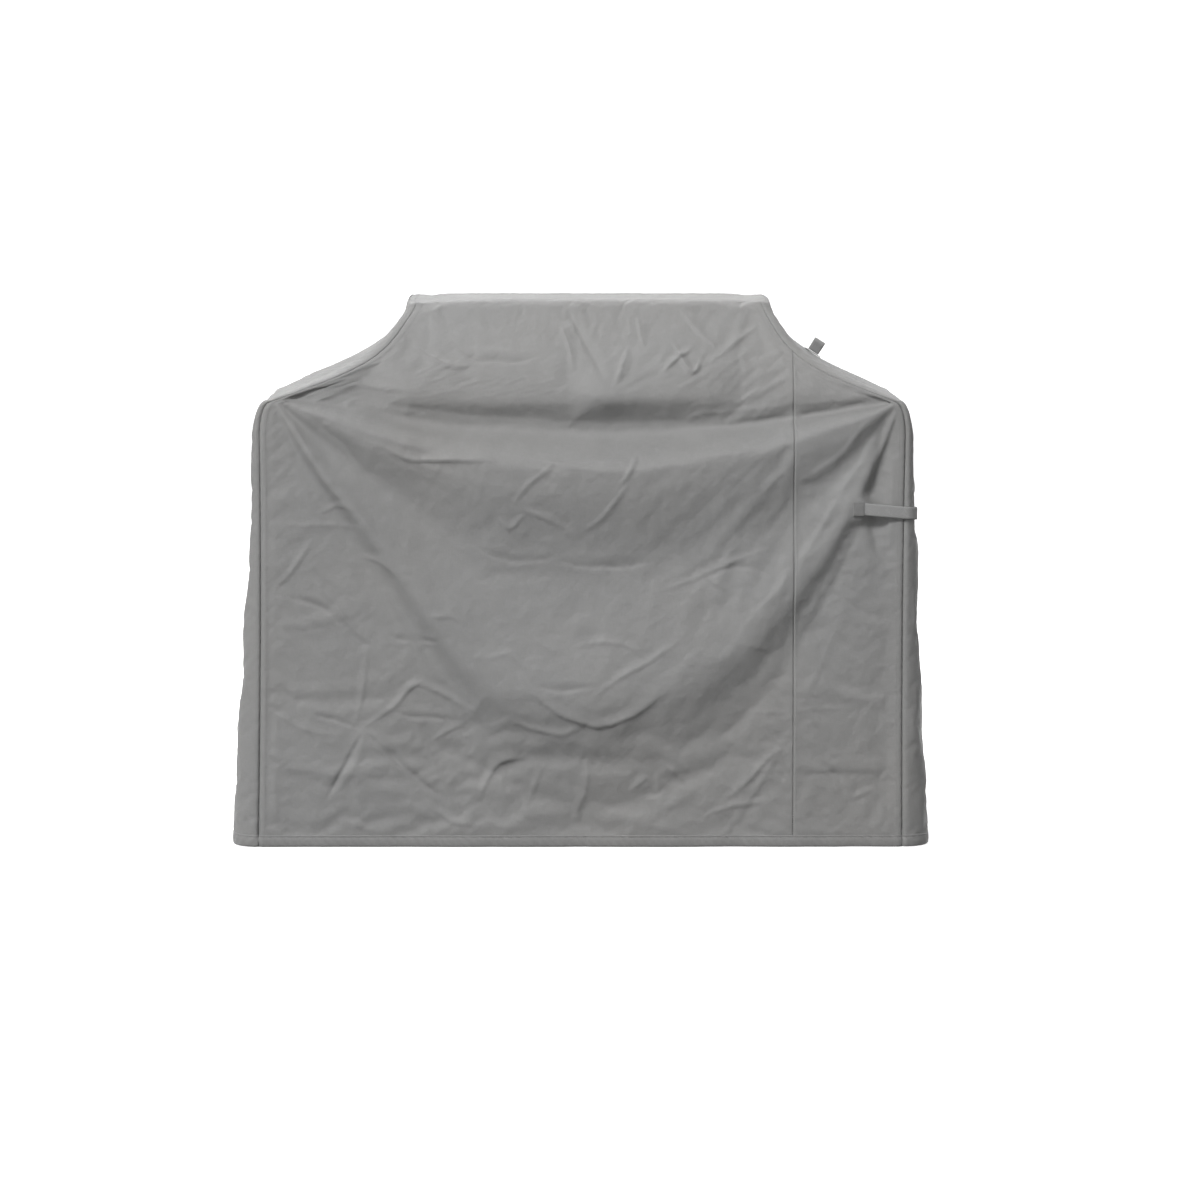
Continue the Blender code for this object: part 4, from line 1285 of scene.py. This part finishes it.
def cloth_material(name, colour, roughness=0.54, pitch=0.0011, crumple=1.0):
    """Coated plain-weave polyester: fine threads with painted shade in the gaps between them, soft crumples,
    faint mottling and dust.
    """
    nodes = Nodes(name)
    threads = weave(nodes, pitch)
    slubs = nodes.noise(nodes.uv, 60.0, 2.0, 0.6, stretch=(14.0, 0.9, 1.0))
    slubs_across = nodes.noise(nodes.uv, 60.0, 2.0, 0.6, stretch=(0.9, 14.0, 1.0))
    mottle = nodes.noise(nodes.place, 7.0, 4.0, 0.55)
    cloud = nodes.noise(nodes.place, 2.2, 3.0, 0.5)
    dust = nodes.noise(nodes.place, 24.0, 6.0, 0.65)
    warm = (colour[0] * 1.05, colour[1], colour[2] * 0.94)
    base = nodes.blend(nodes.ramp(mottle, 0.35, 0.65), scaled(colour, 1 - 0.045), scaled(colour, 1 + 0.045))
    base = nodes.blend(nodes.ramp(cloud, 0.40, 0.75, 0.0, 0.30), base, warm)
    fine = nodes.math("MULTIPLY", nodes.math("ADD", slubs, slubs_across), 0.5)
    base = nodes.blend(nodes.ramp(fine, 0.42, 0.60, 0.0, 0.30), base, scaled(colour, 1.22))
    # the gaps between the threads are darkened to 0.45 of the colour: painted shade between the threads
    base = nodes.blend(nodes.ramp(threads, 0.0, 0.55, 0.34, 0.0), base, scaled(colour, 0.45))
    base = nodes.blend(nodes.ramp(dust, 0.55, 0.78, 0.0, 0.16), base, scaled(colour, 1.5))
    creases = nodes.noise(nodes.place, 34.0, 5.0, 0.58)
    small = nodes.noise(nodes.place, 120.0, 3.0, 0.55)
    normal = nodes.bump(creases, 0.0022 * crumple, 0.55)
    normal = nodes.bump(small, 0.0005 * crumple, 0.5, normal)
    normal = nodes.bump(threads, 0.00012, 0.6, normal)
    rough = nodes.ramp(mottle, 0.3, 0.7, roughness - 0.06, roughness + 0.07)
    nodes.surface(Base_Color=base, Roughness=rough, Normal=normal, Specular_IOR_Level=0.22,
                  Sheen_Weight=0.10, Sheen_Roughness=0.45)
    return nodes.material


def webbing_material(name, colour):
    """Flat webbing: chevron ribs along it and a firm edge."""
    nodes = Nodes(name)
    across, along, _ = nodes.split(nodes.uv)
    slant = nodes.math("ADD", nodes.math("MULTIPLY", nodes.math("ABSOLUTE", across), 900.0),
                       nodes.math("MULTIPLY", along, 2600.0))
    ribs = nodes.math("MULTIPLY", nodes.ramp(nodes.math("SINE", slant), -1, 1), 0.6)
    height = nodes.math("ADD", ribs, nodes.math("MULTIPLY", weave(nodes, 0.0016), 0.4))
    wear = nodes.noise(nodes.place, 90.0, 4.0, 0.6)
    # the grooves between the ribs and threads are darkened to 0.55 of the colour: painted shade in the
    # grooves
    base = nodes.blend(nodes.ramp(height, 0.1, 0.6), scaled(colour, 0.55), colour)
    base = nodes.blend(nodes.ramp(wear, 0.55, 0.75, 0.0, 0.35), base, scaled(colour, 1.5))
    nodes.surface(Base_Color=base, Roughness=nodes.ramp(wear, 0.3, 0.7, 0.62, 0.76),
                  Normal=nodes.bump(height, 0.0003, 0.9), Specular_IOR_Level=0.35)
    return nodes.material


def nap_material(name, colour):
    """Hook-and-loop tape: a dense matt nap."""
    nodes = Nodes(name)
    nap = nodes.noise(nodes.place, 900.0, 4.0, 0.7)
    patches = nodes.noise(nodes.place, 60.0, 3.0, 0.5)
    # where the nap is lower it is darker: painted shade between its fibres
    base = nodes.blend(nodes.ramp(nap, 0.35, 0.65), scaled(colour, 0.5), scaled(colour, 1.4))
    base = nodes.blend(nodes.ramp(patches, 0.4, 0.7, 0.0, 0.4), base, scaled(colour, 1.8))
    nodes.surface(Base_Color=base, Roughness=nodes.ramp(nap, 0.3, 0.7, 0.85, 0.98),
                  Normal=nodes.bump(nap, 0.0006, 0.9), Sheen_Weight=0.3)
    return nodes.material


def thread_material(name, colour):
    """Bonded sewing thread: two twisted plies with a slight shine."""
    nodes = Nodes(name)
    twist = nodes.noise(nodes.place, 1400.0, 2.0, 0.5)
    soil = nodes.noise(nodes.place, 40.0, 3.0, 0.5)
    # where the twist is lower the thread is darker: painted shade between its plies
    base = nodes.blend(nodes.ramp(twist, 0.4, 0.6), scaled(colour, 0.7), colour)
    base = nodes.blend(nodes.ramp(soil, 0.4, 0.7, 0.0, 0.4), base, scaled(colour, 0.75))
    nodes.surface(Base_Color=base, Roughness=nodes.ramp(soil, 0.3, 0.7, 0.42, 0.58),
                  Normal=nodes.bump(twist, 0.0002, 0.7))
    return nodes.material


def dress(material, *objects):
    for obj in objects:
        obj.data.materials.clear()
        obj.data.materials.append(material)


# ---------------------------------------------------------------- the cover, put together

fine_z = np.linspace(SHOULDER_TOP, HEIGHT, 4000)
TIP_Z = float(fine_z[np.argmin(np.abs(seam_x(fine_z, RIGHT) - JOIN_X - 0.002))])


def left_seam(z):
    return float(seam_x(z, LEFT))


def right_seam(z):
    return float(seam_x(z, RIGHT))


def join_seam(z):
    return JOIN_X


def right_of_face(z):
    return min(right_seam(z), JOIN_X)


front = make_face_panel(
    "front_panel", FRONT, left_seam, right_of_face, HEIGHT, True, front_folds, front_creases,
    FRONT_SPARE, 11)
filler = make_face_panel(
    "front_filler_panel", FRONT, join_seam, right_seam, TIP_Z, False,
    front_folds, front_creases, FRONT_SPARE, 12)
back = make_face_panel(
    "back_panel", BACK, left_seam, right_of_face, HEIGHT, False, back_folds, back_creases,
    BACK_SPARE, 21)
back_filler = make_face_panel(
    "back_filler_panel", BACK, join_seam, right_seam, TIP_Z, False,
    back_folds, back_creases, BACK_FILLER_SPARE, 22)
left_side = make_side_panel("left_side_panel", LEFT, 31)
right_side = make_side_panel("right_side_panel", RIGHT, 32)


def foot(*panels):
    points = np.concatenate([panel.points[0] for panel in panels])
    normals = np.concatenate([panel.normals[0] for panel in panels])
    return points, normals


hem_objects, hem_stitches = [], []
for hem_name, panels, hem_seed in (
    ("front_hem", (front, filler), 41), ("back_hem", (back, back_filler), 42),
    ("left_hem", (left_side,), 43), ("right_hem", (right_side,), 44),
):
    hem, stitch_line = make_hem(hem_name, *foot(*panels), hem_seed)
    hem_objects.append(hem)
    hem_stitches.append(stitch_line)

tapes = []
low_row = 3
for face_name, panel, other in (("front", front, filler), ("back", back, back_filler)):
    face_rows = panel.row_at_height(TAPE_TOP)
    places, ups = tape_beside(panel, 0, range(low_row, face_rows, 2))
    tapes.append(make_tape(f"{face_name}_left_seam_tape", places, ups, TAPE_WIDTH))
    tip_row = other.row_at_height(TIP_Z - 0.03)
    above = panel.row_at_height(TIP_Z + 0.02)
    low_places, low_ups = tape_beside(other, -1, range(low_row, tip_row, 2))
    high_places, high_ups = tape_beside(panel, -1, range(above, face_rows, 2))
    tapes.append(make_tape(f"{face_name}_right_seam_tape", np.concatenate([low_places, high_places]),
                           np.concatenate([low_ups, high_ups]), TAPE_WIDTH))
    join_rows = range(low_row, panel.row_at_height(TIP_Z - 0.04), 2)
    places, ups = tape_beside(panel, -1, join_rows, JOIN_TAPE_WIDTH)
    tapes.append(make_tape(f"{face_name}_join_seam_tape", places, ups, JOIN_TAPE_WIDTH))
for seam_name, panel, skipped in (("left", left_side, 20), ("right", right_side, 20), ("rear", back, 6)):
    grid, ups = turned(panel, slice(skipped, -skipped))
    tapes.append(make_tape(f"top_{seam_name}_seam_tape", grid, ups, float(run_along(grid[50])[-1])))

above_tip = front.row_at_height(TIP_Z + 0.01)
top_row = int(np.argmax(front.points[:, 100, 2] > HEIGHT - 0.004))
on_top = (top_row + 3, len(front.points) - 2)
seam_stitches = [
    front.stitch_line(STITCH_IN, 0, 2), filler.stitch_line(STITCH_IN, -1, 2),
    back.stitch_line(STITCH_IN, 0, 2), back_filler.stitch_line(STITCH_IN, -1, 2),
    front.stitch_line(STITCH_IN, -1, above_tip, top_row),
    back.stitch_line(STITCH_IN, -1, back.row_at_height(TIP_Z + 0.01)),
    front.stitch_line(0.0060, 0, *on_top), front.stitch_line(0.0060, -1, *on_top),
    filler.stitch_line(0.0065, 0, 2, len(filler.points) - 8),
    back_filler.stitch_line(0.0065, 0, 2, len(back_filler.points) - 8),
]
seam_thread = stitches("seam_stitching", seam_stitches)
hem_thread = stitches("hem_stitching", hem_stitches)
for thread, slot_name in ((seam_thread, "cover_cloth"), (hem_thread, "hem_cloth")):
    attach(thread, "cover")

right_strap, right_fold, right_threads, right_anchor, right_patches = make_strap(RIGHT, FRONT)
left_strap, left_fold, left_threads, left_anchor, left_patches = make_strap(LEFT, BACK)
loop, loop_base, loop_threads = make_hanging_loop()

CLOTH_COLOUR = (0.228, 0.228, 0.226)
cloth = cloth_material("cover_cloth_look", CLOTH_COLOUR)
hem_cloth = cloth_material("hem_cloth_look", scaled(CLOTH_COLOUR, 0.98), crumple=0.6)
tape_cloth = cloth_material("seam_tape_look", (0.10, 0.10, 0.105), roughness=0.8, pitch=0.0008, crumple=0.3)
# the sewn anchors and loop base are the cover's cloth at 0.86 of its brightness: painted shade, a darker copy
# of the cloth
patch_cloth_painted_shade = cloth_material("sewn_patch_painted_shade_look", scaled(CLOTH_COLOUR, 0.86), crumple=0.3)
web = webbing_material("webbing_look", (0.30, 0.30, 0.298))
nap = nap_material("hook_and_loop_look", (0.12, 0.12, 0.12))
thread_look = thread_material("thread_look", (0.22, 0.22, 0.218))
dress(cloth, *(panel.obj for panel in (front, filler, back, back_filler, left_side, right_side)))
dress(hem_cloth, *hem_objects)
dress(tape_cloth, *tapes)
dress(web, right_strap, left_strap, right_fold, left_fold, loop)
dress(patch_cloth_painted_shade, loop_base, right_anchor, left_anchor)
dress(nap, *right_patches, *left_patches)
dress(thread_look, seam_thread, hem_thread, *right_threads, *left_threads, *loop_threads)


# ---------------------------------------------------------------- floor, light and camera

def paper(name, brightness, glow):
    """White paper that also glows a little, as an evenly lit backdrop does."""
    nodes = Nodes(name)
    grain = nodes.noise(nodes.place, 3.0, 3.0, 0.5)
    white = (brightness,) * 3
    base = nodes.blend(nodes.ramp(grain, 0.3, 0.7), scaled(white, 0.985), white)
    nodes.surface(Base_Color=base, Roughness=0.9, Specular_IOR_Level=0.1, Emission_Strength=glow)
    nodes.shader.inputs["Emission Color"].default_value = (1, 1, 1, 1)
    return nodes.material


def plane(name, corners, look):
    mesh = bpy.data.meshes.new(name)
    mesh.from_pydata(corners, [], [(0, 1, 2, 3)])
    obj = add_object(name, mesh)
    obj.data.materials.append(look)
    return obj


floor = plane("studio_floor", [(-40, -40, 0), (40, -40, 0), (40, 40, 0), (-40, 40, 0)],
              paper("floor_paper", 0.86, 0.85))
floor.location.z = -0.0015
floor.visible_diffuse = False
backdrop_look = paper("backdrop_paper", 0.90, 1.0)
for name, (x0, y0), (x1, y1) in (
    ("studio_backdrop", (-40, 14), (40, 14)), ("studio_backdrop_front", (40, -22), (-40, -22)),
    ("studio_backdrop_left", (-22, -22), (-22, 14)), ("studio_backdrop_right", (22, 14), (22, -22)),
):
    wall = plane(name, [(x0, y0, -2), (x1, y1, -2), (x1, y1, 30), (x0, y0, 30)], backdrop_look)
    wall.visible_diffuse = False
    wall.visible_shadow = name == "studio_backdrop"


def aim(obj, target):
    """Turns a light or the camera to face a point."""
    obj.rotation_euler = (Vector(target) - obj.location).to_track_quat("-Z", "Y").to_euler()


for name, place, target, size, power in (
    ("key_light", (-6.4, -10.0, 12.2), (0.0, 0.0, 0.5), (4.2, 3.6), 2600),
    ("top_light", (0.1, 1.3, 4.0), (0.0, 0.0, 0.8), (3.0, 2.0), 60),
    ("fill_light", (0.3, -7.0, 0.9), (0.0, 0.0, 0.40), (3.0, 1.6), 40),
    ("side_light", (-5.2, -3.2, 1.5), (0.0, 0.0, 0.6), (1.8, 1.8), 52),
    ("back_light", (-1.2, 4.4, 5.2), (0.0, 0.3, 0.5), (2.4, 2.4), 95),
    ("rim_light", (4.8, -1.2, 2.4), (0.0, 0.0, 0.6), (1.6, 1.6), 10),
):
    data = bpy.data.lights.new(name, "AREA")
    data.shape = "RECTANGLE"
    data.size, data.size_y = size
    data.energy = power
    light = add_object(name, data)
    light.location = place
    aim(light, target)

world = bpy.data.worlds.new("studio")
world.use_nodes = True
bpy.context.scene.world = world
tree = world.node_tree
background = tree.nodes["Background"]
sky = tree.nodes.new("ShaderNodeTexCoord")
height = tree.nodes.new("ShaderNodeSeparateXYZ")
fade = tree.nodes.new("ShaderNodeMapRange")
for key, value in (("From Min", -0.25), ("From Max", 0.55), ("To Min", 0.10), ("To Max", 0.22)):
    fade.inputs[key].default_value = value
tree.links.new(sky.outputs["Generated"], height.inputs[0])
tree.links.new(height.outputs["Z"], fade.inputs["Value"])
tree.links.new(fade.outputs["Result"], background.inputs["Strength"])
background.inputs["Color"].default_value = (1, 1, 1, 1)

scene = bpy.context.scene
scene.view_settings.view_transform = "Standard"
scene.view_settings.look = "None"
scene.view_settings.exposure = 0.0

camera_data = bpy.data.cameras.new("camera")
camera_data.lens = 125.39
camera_data.sensor_width = 36.0
camera = add_object("camera", camera_data)
camera.location = (0.0, -9.0, 1.45)
aim(camera, (0.0423, 0.0, 0.4918))
scene.camera = camera
